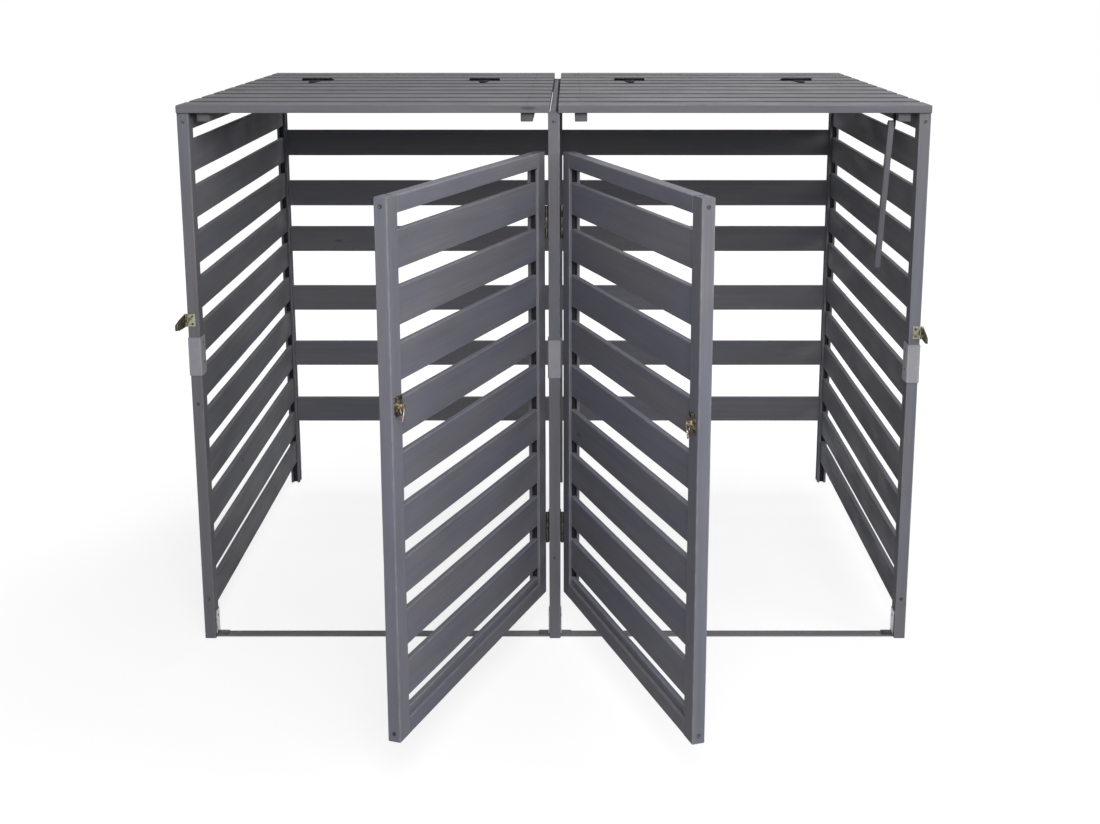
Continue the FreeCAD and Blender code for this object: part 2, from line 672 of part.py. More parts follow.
def make_doors():
    """Two grooved stiles, two rails and housed slats in each door."""
    y0 = front
    y1 = front + size["door_thick"]
    middle = (y0 + y1) / 2
    deep = size["housing_deep"]
    slat_front = middle - size["slat_thick"] / 2
    slat_back = middle + size["slat_thick"] / 2
    for side, word in SIDES:
        for name, inner, outer, face in (
                ("hinge", door_near, door_near + size["stile_wide"], "far"),
                ("free", door_far - size["stile_wide"], door_far, "near")):
            low, high = span(side, inner, outer)
            grooved = "right" if (face == "far") == (side == RIGHT) else "left"
            section = outline(low, y0, high, y1, size["timber_ease"],
                              {grooved: (middle, groove, deep)})
            label = f"{word}_door_{name}_stile"
            stile = lengths(label, "z", [section], size["door_bottom"], door_height)
            keep(swing(stile, side), label)
        low, high = span(side, door_near + size["stile_wide"],
                         door_far - size["stile_wide"])
        rail_top = size["door_bottom"] + size["door_bottom_rail_high"]
        for name, z0, z1 in (("top", door_top - size["door_top_rail_high"], door_top),
                             ("bottom", size["door_bottom"], rail_top)):
            section = outline(y0, z0, y1, z1, size["timber_ease"])
            label = f"{word}_door_{name}_rail"
            keep(swing(lengths(label, "x", [section], low, high - low), side), label)
        first = size["door_bottom"] + size["door_slat_first"]
        first_top = first + size["door_slat_high"]
        slat = outline(slat_front, first, slat_back, first_top, size["slat_ease"])
        strip = outline(slat_front, rail_top, slat_back, rail_top + size["door_strip_high"],
                        size["slat_ease"])
        start = low - size["tongue"]
        long = high - low + 2 * size["tongue"]
        space = door_top - size["door_top_rail_high"] - size["slat_head_gap"] - first_top
        count = copies(space, size["door_slat_pitch"])
        slats = lengths(f"{word}_slat_row", "x", [slat], start, long,
                        ("Z_Axis", size["door_slat_pitch"], count))
        strips = lengths(f"{word}_slat_strip", "x", [strip], start, long)
        label = f"{word}_door_slats"
        keep(swing(group(label, [slats, strips]), side), label)


def make_door_hinges():
    """Butt hinges: a leaf on the post, a leaf on the door, knuckles and pins."""
    post_leaves = []
    pins = []
    radius = size["knuckle_radius"]
    third = size["hinge_high"] / 3
    play = size["knuckle_play"] / 2
    bore = size["hinge_pin_radius"] + size["pin_play"]
    reach = size["reach"]
    leaf_start = pin_at + radius + size["leaf_clear"]
    for side, word in SIDES:
        x = side * pin_out
        door_leaves = []
        for height, middle in hinge_middle.items():
            base = middle - size["hinge_high"] / 2
            name = f"{word}_{height}"
            for owner, near, zones in (
                    ("post", half_post, ((0, third - play), (2 * third + play, 3 * third))),
                    ("door", door_near - size["leaf_thick"],
                     ((third + play, 2 * third - play),))):
                low, high = span(side, near, near + size["leaf_thick"])
                pieces = [box(f"{name}_{owner}_leaf", low, leaf_start, base,
                              high, front + size["hinge_leaf_wide"],
                              base + size["hinge_high"])]
                for count, (z0, z1) in enumerate(zones, start=1):
                    tag = f"{name}_{owner}_{count}"
                    pieces.append(rod(tag + "_knuckle", radius, z1 - z0,
                                      x, pin_at, base + z0, "z"))
                    pieces.append(box(tag + "_web", low, pin_at, base + z0,
                                      high, leaf_start + reach, base + z1))
                hole = rod(f"{name}_{owner}_bore", bore, size["hinge_high"] + 2 * reach,
                           x, pin_at, base - reach, "z")
                leaf = cut(f"{name}_{owner}_hinge",
                           fuse(f"{name}_{owner}_blank", pieces), hole)
                if owner == "post":
                    post_leaves.append(leaf)
                else:
                    door_leaves.append(leaf)
            head = size["pin_head_high"]
            pins.append(fuse(name + "_hinge_pin", [
                rod(name + "_pin_shank", size["hinge_pin_radius"], size["hinge_high"],
                    x, pin_at, base, "z"),
                rod(name + "_pin_head", size["pin_head_radius"], head, x, pin_at,
                    base + size["hinge_high"], "z"),
                rod(name + "_pin_tail", size["pin_head_radius"], head, x, pin_at,
                    base - head, "z")]))
        label = f"{word}_door_hinge_leaves"
        keep(swing(group(label, door_leaves), side), label)
    keep(group("post_hinge_leaves", post_leaves), "post_hinge_leaves")
    keep(group("door_hinge_pins", pins), "door_hinge_pins")


# Latches

hasp_axis_out = half + size["hasp_barrel_radius"] + size["hasp_barrel_clear"]
hasp_axis_at = front - size["hasp_thick"] - size["hasp_gap"] / 2
hasp_turn = {LEFT: -size["left_hasp_open"], RIGHT: size["right_hasp_open"]}


def make_hasps():
    """On each outer post: a plate with knuckles, a pin and a tapered slotted strap."""
    pins = []
    radius = size["hasp_barrel_radius"]
    bore = size["hasp_pin_radius"] + size["pin_play"]
    third = size["hasp_high"] / 3
    play = size["knuckle_play"] / 2
    edge = half - size["hasp_edge_back"]
    reach = size["reach"]
    for side, word in SIDES:
        up = latch_up[side]
        base = up - size["hasp_high"] / 2
        x = side * hasp_axis_out
        low, high = span(side, half - size["hasp_plate_wide"], edge)
        pieces = [box(word + "_hasp_leaf", low, front - size["hasp_thick"], base,
                      high, front, base + size["hasp_high"])]
        for count, (z0, z1) in enumerate(((0, third - play), (2 * third + play, 3 * third))):
            tag = f"{word}_hasp_plate_{count}"
            web_low, web_high = span(side, edge - reach, hasp_axis_out)
            pieces.append(rod(tag + "_knuckle", radius, z1 - z0,
                              x, hasp_axis_at, base + z0, "z"))
            pieces.append(box(tag + "_web", web_low, front - size["hasp_thick"], base + z0,
                              web_high, front, base + z1))
        hole = rod(word + "_hasp_bore", bore, size["hasp_high"] + 2 * reach,
                   x, hasp_axis_at, base - reach, "z")
        plate = cut(word + "_hasp_plate_cut", fuse(word + "_hasp_plate_blank", pieces), hole)
        keep(plate, f"{word}_hasp_plate")
        pins.append(rod(word + "_hasp_pin", size["hasp_pin_radius"], size["hasp_high"],
                        x, hasp_axis_at, base, "z"))
        make_hasp_strap(side, word, up, x)
    keep(group("hasp_pins", pins), "hasp_pins")


def make_hasp_strap(side, word, up, x):
    """The swinging strap, drawn closed across the door's stile and then swung open."""
    radius = size["hasp_barrel_radius"]
    third = size["hasp_high"] / 3
    play = size["knuckle_play"] / 2
    strap_back = front - size["hasp_thick"] - size["hasp_gap"]
    strap_front = strap_back - size["hasp_thick"]
    reach = size["reach"]
    root = half - size["hasp_root_back"]
    shoulder = hasp_axis_out - size["hasp_shoulder"]
    tip = hasp_axis_out - size["hasp_long"]
    ease = size["hasp_tip_ease"]
    reach_root = size["hasp_root"] / 2
    reach_shoulder = size["hasp_shoulder_high"] / 2
    tip_top = up - size["hasp_droop"] + size["hasp_tip"] / 2
    tip_bottom = tip_top - size["hasp_tip"]
    corners = [(root, up + reach_root), (root, up - reach_root),
               (shoulder, up - reach_shoulder), (tip + ease, tip_bottom),
               (tip, tip_bottom + ease), (tip, tip_top - ease), (tip + ease, tip_top),
               (shoulder, up + reach_shoulder - 2 * size["hasp_droop"])]
    corners = [(side * out, height) for out, height in corners]
    body = document.addObject("PartDesign::Body", word + "_hasp_tongue")
    outline_sketch = draw(body, word + "_hasp_outline", "XZ_Plane", [corners], -strap_back)
    pad = body.newObject("PartDesign::Pad", word + "_hasp_sheet")
    pad.Profile = outline_sketch
    pad.Length = size["hasp_thick"].number
    pad.setExpression("Length", size["hasp_thick"].formula)
    body.Tip = pad
    web_low, web_high = span(side, root - reach, hasp_axis_out)
    pieces = [
        body,
        rod(word + "_strap_knuckle", radius, third - 2 * play,
            x, hasp_axis_at, up - third / 2 + play, "z"),
        box(word + "_strap_web", web_low, strap_front, up - third / 2 + play,
            web_high, strap_back, up + third / 2 - play),
    ]
    blank = fuse(word + "_strap_blank", pieces)
    bore = size["hasp_pin_radius"] + size["pin_play"]
    hole = rod(word + "_strap_bore", bore, size["hasp_high"] + 2 * reach,
               x, hasp_axis_at, up - size["hasp_high"] / 2 - reach, "z")
    staple = door_far - size["keep_in"]
    slot_reach = size["staple_wire"] / 2 + size["slot_play"]
    slot_rise = size["staple_high"] / 2 + size["slot_play"]
    slot_low, slot_high = span(side, staple - slot_reach, staple + slot_reach)
    slot = box(word + "_strap_slot", slot_low, strap_front - reach, up - slot_rise,
               slot_high, strap_back + reach, up + slot_rise)
    strap = cut(word + "_strap_cut", blank, fuse(word + "_strap_tools", [hole, slot]))
    turn_about(strap, hasp_turn[side], x, hasp_axis_at)
    keep(strap, f"{word}_hasp_strap")


def make_keeps():
    """On each door: a plate with a staple, and a three-sided link hanging in it."""
    for side, word in SIDES:
        up = latch_up[side]
        middle = door_far - size["keep_in"]
        low, high = span(side, middle - size["keep_wide"] / 2, middle + size["keep_wide"] / 2)
        plate = box(word + "_keep_sheet", low, front - size["hasp_thick"],
                    up - size["keep_high"] / 2, high, front, up + size["keep_high"] / 2)
        wire_low, wire_high = span(side, middle - size["staple_wire"] / 2,
                                   middle + size["staple_wire"] / 2)
        staple = box(word + "_staple_block", wire_low, front - size["staple_out"],
                     up - size["staple_high"] / 2, wire_high, front,
                     up + size["staple_high"] / 2)
        eye_at = front - size["staple_out"] + size["eye_in"]
        eye_radius = size["link_wire"] + size["pin_play"]
        eye = rod(word + "_eye", eye_radius, size["staple_wire"] + 2 * size["reach"],
                  wire_low - size["reach"], eye_at, up, "x")
        solid = cut(word + "_keep_cut", fuse(word + "_keep_blank", [plate, staple]), eye)
        keep(swing(solid, side), f"{word}_keep_plate")
        keep(swing(drop_link(side, word, up, middle, eye_at), side), f"{word}_drop_link")


def drop_link(side, word, up, middle, eye_at):
    """A bent wire link: a bar through the staple's eye and two sides that meet below."""
    half_wide = size["link_wide"].number / 2
    drop = size["link_long"].number
    radius = size["link_wire"].number
    centre = FreeCAD.Vector((side * middle).number, eye_at.number, up.number)
    left_end = centre + FreeCAD.Vector(-half_wide, 0, 0)
    right_end = centre + FreeCAD.Vector(half_wide, 0, 0)
    low_end = centre + FreeCAD.Vector(0, 0, -drop)
    legs = []
    for start, end in ((left_end, right_end), (right_end, low_end), (low_end, left_end)):
        run = end - start
        legs.append(Part.makeCylinder(radius, run.Length, start, run))
        legs.append(Part.makeSphere(radius, start))
    shape = legs[0].multiFuse(legs[1:]).removeSplitter()
    link = document.addObject("Part::Feature", word + "_drop_link_wire")
    link.Shape = shape
    return link


# Prop

def make_prop():
    """The stick that holds the right lid up, and the bracket that it hangs from."""
    low, high = batten_spans(RIGHT)[1]
    pivot_at = front + size["prop_back"]
    pivot_up = roof_under - size["prop_pivot_down"]
    plate_low = low - size["prop_plate_thick"]
    stick_high = plate_low - size["prop_clear"]
    stick_low = stick_high - size["prop_across"]
    reach = size["prop_plate_deep"] / 2
    plate = box("prop_plate", plate_low, pivot_at - reach, pivot_up,
                low, pivot_at + reach, roof_under - size["prop_plate_drop"])
    nose = rod("prop_nose", reach, size["prop_plate_thick"], plate_low, pivot_at, pivot_up, "x")
    pin_low = stick_low - size["prop_pin_end"]
    pin = rod("prop_pin", size["prop_pin_radius"], low - pin_low,
              pin_low, pivot_at, pivot_up, "x")
    keep(fuse("prop_bracket_blank", [plate, nose, pin]), "prop_bracket")
    deep = size["prop_deep"] / 2
    shaft = box("prop_shaft", stick_low, pivot_at - deep, pivot_up - size["prop_long"],
                stick_high, pivot_at + deep, pivot_up)
    head = rod("prop_head", deep, size["prop_across"], stick_low, pivot_at, pivot_up, "x")
    bore = rod("prop_bore", size["prop_pin_radius"] + size["pin_play"],
               size["prop_across"] + 2 * size["reach"], stick_low - size["reach"],
               pivot_at, pivot_up, "x")
    stick = cut("prop_cut", fuse("prop_blank", [shaft, head]), bore)
    angle = size["prop_lean"]
    slide_y = pivot_at - (pivot_at * cosine(angle) - pivot_up * sine(angle))
    slide_z = pivot_up - (pivot_at * sine(angle) + pivot_up * cosine(angle))
    stick.Placement = FreeCAD.Placement(
        FreeCAD.Vector(0, slide_y.number, slide_z.number),
        FreeCAD.Rotation(FreeCAD.Vector(1, 0, 0), angle.number))
    stick.setExpression("Placement.Rotation.Angle", f"{angle.formula} * 1 deg")
    stick.setExpression("Placement.Base.y", slide_y.formula)
    stick.setExpression("Placement.Base.z", slide_z.formula)
    keep(stick, "prop_stick")


# Metalwork on the posts

def make_thresholds():
    """A flat steel bar across the front of each bay, with a bracket on each end."""
    brackets = []
    bay_inner = half_post
    bay_outer = half - size["post_wide"]
    thick = size["bracket_thick"]
    y0 = front + size["threshold_back"]
    y1 = y0 + size["threshold_deep"]
    bar_top = size["threshold_up"] + size["threshold_thick"]
    for side, word in SIDES:
        low, high = span(side, bay_inner, bay_outer)
        section = outline(y0, size["threshold_up"], y1, bar_top, size["threshold_ease"])
        label = f"{word}_threshold_bar"
        keep(lengths(label, "x", [section], low, high - low), label)
        for name, face, toward in (("inner", bay_inner, 1), ("outer", bay_outer, -1)):
            tag = f"{word}_{name}_bracket"
            near, far = sorted((face, face + toward * thick), key=lambda s: s.number)
            leg_low, leg_high = span(side, near, far)
            near, far = sorted((face, face + toward * size["bracket_foot"]),
                               key=lambda s: s.number)
            foot_low, foot_high = span(side, near, far)
            leg = box(tag + "_leg", leg_low, y0, bar_top,
                      leg_high, y1, bar_top + size["bracket_high"])
            foot = box(tag + "_foot", foot_low, y0, bar_top, foot_high, y1, bar_top + thick)
            hole = rod(tag + "_hole", size["bracket_hole_radius"], 3 * thick,
                       leg_low - thick, (y0 + y1) / 2, size["bracket_hole_up"], "x")
            brackets.append(cut(tag, fuse(tag + "_blank", [leg, foot]), hole))
    keep(group("threshold_brackets", brackets), "threshold_brackets")


def make_sleeves():
    """Folded steel sleeves round the front and both sides of each front post."""
    sleeves = []
    thick = size["sleeve_thick"]
    for word, middle in (("left", -half + half_post), ("centre", as_size(0)),
                         ("right", half - half_post)):
        up = size[f"{word}_sleeve_up"]
        x0 = middle - half_post - thick
        x1 = middle + half_post + thick
        y0 = front - thick
        y1 = y0 + size["sleeve_deep"]
        corners = [(x0, y0), (x1, y0), (x1, y1), (x1 - thick, y1), (x1 - thick, front),
                   (x0 + thick, front), (x0 + thick, y1), (x0, y1)]
        sleeves.append(lengths(word + "_sleeve", "z", [corners], up, size["sleeve_high"]))
    keep(group("post_sleeves", sleeves), "post_sleeves")


# Screws

def make_screws():
    """Screw heads on the fronts of the posts and on the doors."""
    rail_middle = roof_under - size["top_rail_high"] / 2
    spots = []
    for x, heights in (
            (-half + half_post, (rail_middle, size["left_screw_up"], size["outer_screw_up"])),
            (as_size(0), (rail_middle, size["centre_screw_up"])),
            (half - half_post, (rail_middle, size["outer_screw_up"]))):
        spots += [(x, front, z, LEFT) for z in heights]
    keep(group("frame_screws", screw_heads("frame_screw", spots, "y")), "frame_screws")
    top = door_top - size["door_top_rail_high"] / 2
    bottom = size["door_bottom"] + size["door_bottom_rail_high"] / 2
    middle = front + size["door_thick"] / 2
    for side, word in SIDES:
        heads = screw_heads(f"{word}_edge_screw",
                            [(side * door_far, middle, z, side) for z in (top, bottom)], "x")
        up = latch_up[side]
        reach_x = size["keep_wide"] / 2 - size["keep_screw_in"]
        reach_z = size["keep_high"] / 2 - size["keep_screw_in"]
        centre = side * (door_far - size["keep_in"])
        corners = [(centre + i * reach_x, front - size["hasp_thick"], up + k * reach_z, LEFT)
                   for i in (-1, 1) for k in (-1, 1)]
        heads += screw_heads(f"{word}_keep_screw", corners, "y")
        label = f"{word}_door_screws"
        keep(swing(group(label, heads), side), label)


def check(thing):
    """Stop if an object failed, or if its shape is empty or broken."""
    if "Invalid" in thing.State or "Error" in thing.State:
        raise RuntimeError(f"{thing.Label} failed: {thing.State}")


def write_parts():
    """Check every object, then write each finished piece to its own file."""
    document.recompute()
    for thing in document.Objects:
        check(thing)
    for thing in parts:
        if thing.Shape.isNull() or not thing.Shape.isValid():
            raise RuntimeError(f"{thing.Label} has no valid shape")
    os.makedirs("parts", exist_ok=True)
    for thing in parts:
        thing.Shape.exportStep(f"parts/{thing.Label}.step")
    solids = sum(len(thing.Shape.Solids) for thing in parts)
    print(f"{len(parts)} pieces written, {solids} solids")


make_posts()
make_sides()
make_back()
make_roof()
make_lid_hinges()
make_doors()
make_door_hinges()
make_hasps()
make_keeps()
make_prop()
make_thresholds()
make_sleeves()
make_screws()
write_parts()
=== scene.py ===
# %% [markdown]
# # A slatted timber store for two wheelie bins
# The real store is grey stained softwood: grooved posts, housed slats, two framed doors that
# swing on the centre post, and a boarded roof whose front halves lift. Its latches, hinges and
# corner sleeves are thin pressed steel.
# The measured model already holds every piece at its true size. This lesson keeps those sizes
# and adds rounded edges, sawn ends, fasteners and finishes.

# %% Load the measured model
import json
import math

import bmesh
import bpy
import numpy as np
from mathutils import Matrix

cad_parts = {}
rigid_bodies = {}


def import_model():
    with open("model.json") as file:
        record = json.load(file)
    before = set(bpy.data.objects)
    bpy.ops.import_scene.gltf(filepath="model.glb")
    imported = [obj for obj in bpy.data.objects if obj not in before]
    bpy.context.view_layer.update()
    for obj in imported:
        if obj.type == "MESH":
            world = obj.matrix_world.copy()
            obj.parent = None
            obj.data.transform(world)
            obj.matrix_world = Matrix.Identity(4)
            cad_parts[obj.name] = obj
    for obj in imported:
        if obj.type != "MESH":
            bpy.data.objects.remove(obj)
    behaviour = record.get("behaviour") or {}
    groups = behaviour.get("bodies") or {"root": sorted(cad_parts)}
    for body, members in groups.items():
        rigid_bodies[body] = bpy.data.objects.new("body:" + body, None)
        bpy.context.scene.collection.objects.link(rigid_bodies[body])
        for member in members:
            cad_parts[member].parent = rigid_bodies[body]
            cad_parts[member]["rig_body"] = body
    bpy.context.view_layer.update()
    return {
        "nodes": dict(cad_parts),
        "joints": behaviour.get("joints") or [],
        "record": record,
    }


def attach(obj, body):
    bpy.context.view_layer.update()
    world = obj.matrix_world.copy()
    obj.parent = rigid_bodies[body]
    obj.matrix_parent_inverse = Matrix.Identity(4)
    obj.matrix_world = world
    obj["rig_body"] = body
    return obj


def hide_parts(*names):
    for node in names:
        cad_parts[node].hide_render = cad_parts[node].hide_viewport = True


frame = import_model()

# %% [markdown]
# ## Reading sizes from the measured model
# Every new piece must sit exactly where the measured one does. A table of positions would soon
# be wrong, so the sizes are read from the measured points. The doors stand open, so their points
# are first turned back about the hinge pins, until the door is square to the axes.

# %% Points, boxes and the turn of a door
MM = 0.001
X, Y, Z = 0, 1, 2
TURN = 2 * math.pi
SIDES = ("left", "right")
OUTWARD = {"left": -1, "right": 1}
SLACK = 0.02 * MM
JOINTS = {joint["name"]: joint for joint in frame["joints"]}


def points_in(mesh):
    """Every corner point of a mesh, one row each."""
    points = np.empty(len(mesh.vertices) * 3, np.float32)
    mesh.vertices.foreach_get("co", points)
    return points.reshape(-1, 3).astype(float)


def points_of(node):
    """Every corner point of a measured piece."""
    return points_in(frame["nodes"][node].data)


def swung(points, side, opening=1):
    """Points turned about a door's pins, from shut to standing open, or back with -1.

    Measured from the pins, X' = X cos a - Y sin a and Y' = X sin a + Y cos a.
    """
    joint = JOINTS[f"{side}_door_hinge"]
    pin = joint["pos_m"]
    angle = opening * joint["axis"][Z] * math.radians(-joint["range_deg"][0])
    cos, sin = math.cos(angle), math.sin(angle)
    return (points - np.array(pin)) @ [(cos, sin, 0), (-sin, cos, 0), (0, 0, 1)] + pin


def limits(points):
    """Lowest and highest corner of some points."""
    return points.min(axis=0), points.max(axis=0)


def middle_of(points):
    """The middle of the box round some points."""
    return sum(limits(points)) / 2


def stacked(points, axis, levels=4):
    """Boxes of equal lengths of timber lying side by side along an axis.

    A length shows four levels across itself: edge, ease, ease and edge.
    """
    found = np.unique(points[:, axis].round(5))
    pairs = zip(found[0::levels], found[levels - 1::levels])
    return [limits(points[(points[:, axis] > low - SLACK) & (points[:, axis] < high + SLACK)])
            for low, high in pairs]


def apart(points, axis, gap):
    """Groups of points with more than a gap between them along an axis."""
    order = np.argsort(points[:, axis])
    steps = np.diff(points[order, axis])
    return [points[group] for group in np.split(order, np.flatnonzero(steps > gap) + 1)]


print("doors stand open by", [JOINTS[f"{side}_door_hinge"]["range_deg"][0] for side in SIDES])

# %% [markdown]
# ## A section carried along a run
# A planed board is one outline pushed along a straight line. Boxes with a bevel would do, but
# posts and stiles are grooved, and a bevel can't tell an outer corner from the lip of a groove.
# So each corner of a plain outline becomes an arc of its own radius, and rings of that outline
# are laid along the length and joined.

# %% Round the corners of an outline
# Inside corners, such as the bottoms of grooves, are marked for painted shade on the wood.
INSIDE_CORNER_SHADE = -1.0
ARC_STEPS = 5
SUPPORT = 1.5 * MM
SUPPORT_SHARE = 0.4


def rounded(corners, radii):
    """An outline with arcs at its corners, marked where they stick out and where they go in.

    Points are complex numbers here, because a factor e^(i a) turns an arm by the angle a. At a
    corner where the edge turns by t, an arc of radius r starts r tan(t / 2) before it. A point
    beside each arc keeps the flat faces flat when they are shaded smooth.
    """
    corners = np.asarray(corners, float) @ (1, 1j)
    radii = np.asarray(radii, float)
    edge = np.roll(corners, -1) - corners
    long = np.abs(edge)
    run_out = edge / long
    run_in = np.roll(run_out, 1)
    turn = np.angle(run_out / run_in)
    setback = radii * np.tan(np.abs(turn) / 2)
    start = corners - run_in * setback
    centre = start + 1j * run_in * radii * np.sign(turn)
    sweep = np.exp(1j * turn[:, None] * np.linspace(0, 1, ARC_STEPS))
    arc = centre[:, None] + (start - centre)[:, None] * sweep
    straight = long - setback - np.roll(setback, -1)
    room = np.minimum(SUPPORT, SUPPORT_SHARE * straight)
    lead = start - run_in * np.roll(room, 1)
    tail = corners + run_out * (setback + room)
    outline = np.column_stack([lead, arc, tail])
    mark = np.zeros(outline.shape)
    mark[turn > 0, 1:-1] = 1
    # Painted shade: inside corners get the shade mark.
    mark[turn < 0] = INSIDE_CORNER_SHADE
    outline = outline.reshape(-1, 1)
    return np.hstack([outline.real, outline.imag]), mark.ravel()


print("a rounded square has", len(rounded([(0, 0), (1, 0), (1, 1), (0, 1)], 0.1)[0]), "points")

# %% [markdown]
# ## From rings to a mesh
# The rings of a piece's boards are stacked into arrays, and the faces are worked out by
# counting: point i of a ring joins point i of the next. Each array goes into the mesh in one
# call, which is far quicker than adding faces one by one. Three marks travel with the points.
# "grain" is the place in the log that the board was sawn from, and "tone" is how light the board
# is. "edge" is 1 on rounded corners, where stain wears thin, and below 0 on sawn ends, where it
# soaks in, and on the narrow faces between roof boards and in grooves, which get painted shade.

# %% Faces by counting, and one mesh from arrays
def ring_faces(rings, around):
    """Quads between neighbouring rings, then the two ends as single faces, facing out."""
    here = np.arange(around)
    following = (here + 1) % around
    base = np.arange(rings - 1)[:, None] * around
    quads = np.stack([base + here, base + following,
                      base + around + following, base + around + here], axis=-1)
    last = (rings - 1) * around
    return quads.reshape(-1, 4), np.stack([here[::-1], here + last])


def put_marks(mesh, marks):
    """Numbers or vectors that belong to a mesh's points, for its finish to read."""
    for key, values in marks.items():
        kind, slot = ("FLOAT", "value") if values.ndim == 1 else ("FLOAT_VECTOR", "vector")
        layer = mesh.attributes.new(key, kind, "POINT")
        layer.data.foreach_set(slot, values.astype(np.float32).ravel())


def placed(name, data):
    """A new object at the origin that shows a mesh, a lamp or a camera."""
    thing = bpy.data.objects.new(name, data)
    bpy.context.scene.collection.objects.link(thing)
    return thing


def mesh_object(name, points, faces, material, marks=None, sharp=40):
    """An object from an array of points and arrays of faces; edges above sharp stay sharp."""
    mesh = bpy.data.meshes.new(name)
    loops = np.concatenate([block.ravel() for block in faces]).astype(np.int32)
    counts = np.concatenate([np.full(len(block), block.shape[1]) for block in faces])
    mesh.vertices.add(len(points))
    mesh.vertices.foreach_set("co", points.astype(np.float32).ravel())
    mesh.loops.add(len(loops))
    mesh.loops.foreach_set("vertex_index", loops)
    mesh.polygons.add(len(counts))
    mesh.polygons.foreach_set("loop_start", (np.cumsum(counts) - counts).astype(np.int32))
    mesh.update(calc_edges=True)
    put_marks(mesh, marks or {})
    mesh.shade_smooth()
    mesh.set_sharp_from_angle(angle=math.radians(sharp))
    mesh.materials.append(material)
    return placed(name, mesh)


def stand_in(piece, *nodes):
    """The piece takes the place and the body of measured pieces, which are hidden."""
    source = frame["nodes"][nodes[0]]
    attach(piece, source["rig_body"])
    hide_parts(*nodes)
    return piece


SLOTS = {row["node"]: row["material_slot"] for row in frame["record"]["subparts"]}
print(len(SLOTS), "measured pieces in", len(set(SLOTS.values())), "finishes")

# %% [markdown]
# ## A length of timber
# Real boards are never perfect bars. They shrink a little between the knots, their ends are cut
# square and then eased, and each comes from another place in the log. So the section is drawn in
# by a slow ripple of a fifth of a millimetre, never outward, and no board leaves its measured
# space. The log's middle lies a few centimetres outside the board, as in cheap fencing timber,
# so the rings cross the faces as long arches and lines.

# %% Rings of one board
EDGE_RADIUS = 2 * MM
ROOF_EDGE = 0.8 * MM
LIP_RADIUS = 0.5 * MM
END_EASE = 0.9 * MM
STATION = 80 * MM
RIPPLE = 0.2 * MM
RIPPLES_A_METRE = (1.5, 4)
END_GRAIN = -0.6
# Painted shade on the long narrow faces of roof boards, for the gaps between them.
ROOF_GAP_SHADE = -0.8
NEAR_FACE = 0.8
LOG_LENGTH = 50
LOG_TILT = 0.02
LOG_ASIDE = 40 * MM
LOG_AWAY = (20 * MM, 60 * MM)
ACROSS = ([Y, Z], [Z, X], [X, Y])


def board(corners, radii, run, start, end, random, ripple=RIPPLE, shaded_faces=()):
    """Rings of points for one board, with its marks and faces.

    Ring k lies at a distance d along the run. It is the section, drawn in toward its middle
    by the ease at both ends and by ripple (1 + sin(w d + p)) / 2 between them. The last argument
    names the narrow faces, 0 for the low one and 1 for the high one, that get painted shade.
    """
    section, mark = rounded(corners, radii)
    middle = middle_of(section)
    half = np.ptp(section, axis=0) / 2
    long = end - start
    inner = np.linspace(3 * END_EASE, long - 3 * END_EASE, max(3, math.ceil(long / STATION)))
    along = np.concatenate([[0, END_EASE], inner, [long - END_EASE, long]])
    wave = TURN * random.uniform(*RIPPLES_A_METRE) * along + random.uniform(0, TURN)
    draw_in = ripple * (1 + np.sin(wave)) / 2
    draw_in[[0, -1]] = END_EASE
    draw_in[[1, -2]] = 0
    flat = middle + (section - middle)[None] * (1 - draw_in[:, None] / half)[:, None]
    rings = np.empty(flat.shape[:2] + (3,))
    rings[..., run] = (start + along)[:, None]
    rings[..., ACROSS[run]] = flat
    log = np.empty_like(rings)
    log[..., 0] = along[:, None] + random.uniform(0, LOG_LENGTH)
    tilt = random.uniform(-LOG_TILT, LOG_TILT, 2)
    aside = random.uniform(-LOG_ASIDE, LOG_ASIDE)
    away = random.choice((-1, 1)) * random.uniform(*LOG_AWAY)
    offset = np.array([away, aside] if half[0] < half[1] else [aside, away])
    log[..., 1:] = flat - middle + offset + along[:, None, None] * tilt
    # The named narrow faces get the painted shade mark.
    for side in shaded_faces:
        face = limits(section)[side][0]
        mark[np.abs(section[:, 0] - face) < NEAR_FACE * min(radii)] = ROOF_GAP_SHADE
    edge = np.tile(mark, (len(along), 1))
    edge[[0, -1]] = END_GRAIN
    tone = np.full(edge.shape, random.uniform(-1, 1))
    quads, ends = ring_faces(len(along), len(section))
    return rings.reshape(-1, 3), log.reshape(-1, 3), edge.ravel(), tone.ravel(), quads, ends


def boards_object(name, boards, material, side=None):
    """Several boards as one object; those of a door are made shut, and swung here."""
    *rows, quads, ends = zip(*boards)
    firsts = np.cumsum([0] + [len(rings) for rings in rows[0][:-1]])
    faces = [block + first for blocks in (quads, ends) for block, first in zip(blocks, firsts)]
    points, grain, edge, tone = map(np.concatenate, rows)
    marks = {"grain": grain, "edge": edge, "tone": tone}
    return mesh_object(name, swung(points, side) if side else points, faces, material, marks)


# %% [markdown]
# ## Mixing finishes
# A finish is a small network of shader nodes. Written node by node it would bury the idea, so
# helpers add one node per call and wire what they are given. Constants go straight onto the
# shader's own sockets, where the export can read them.

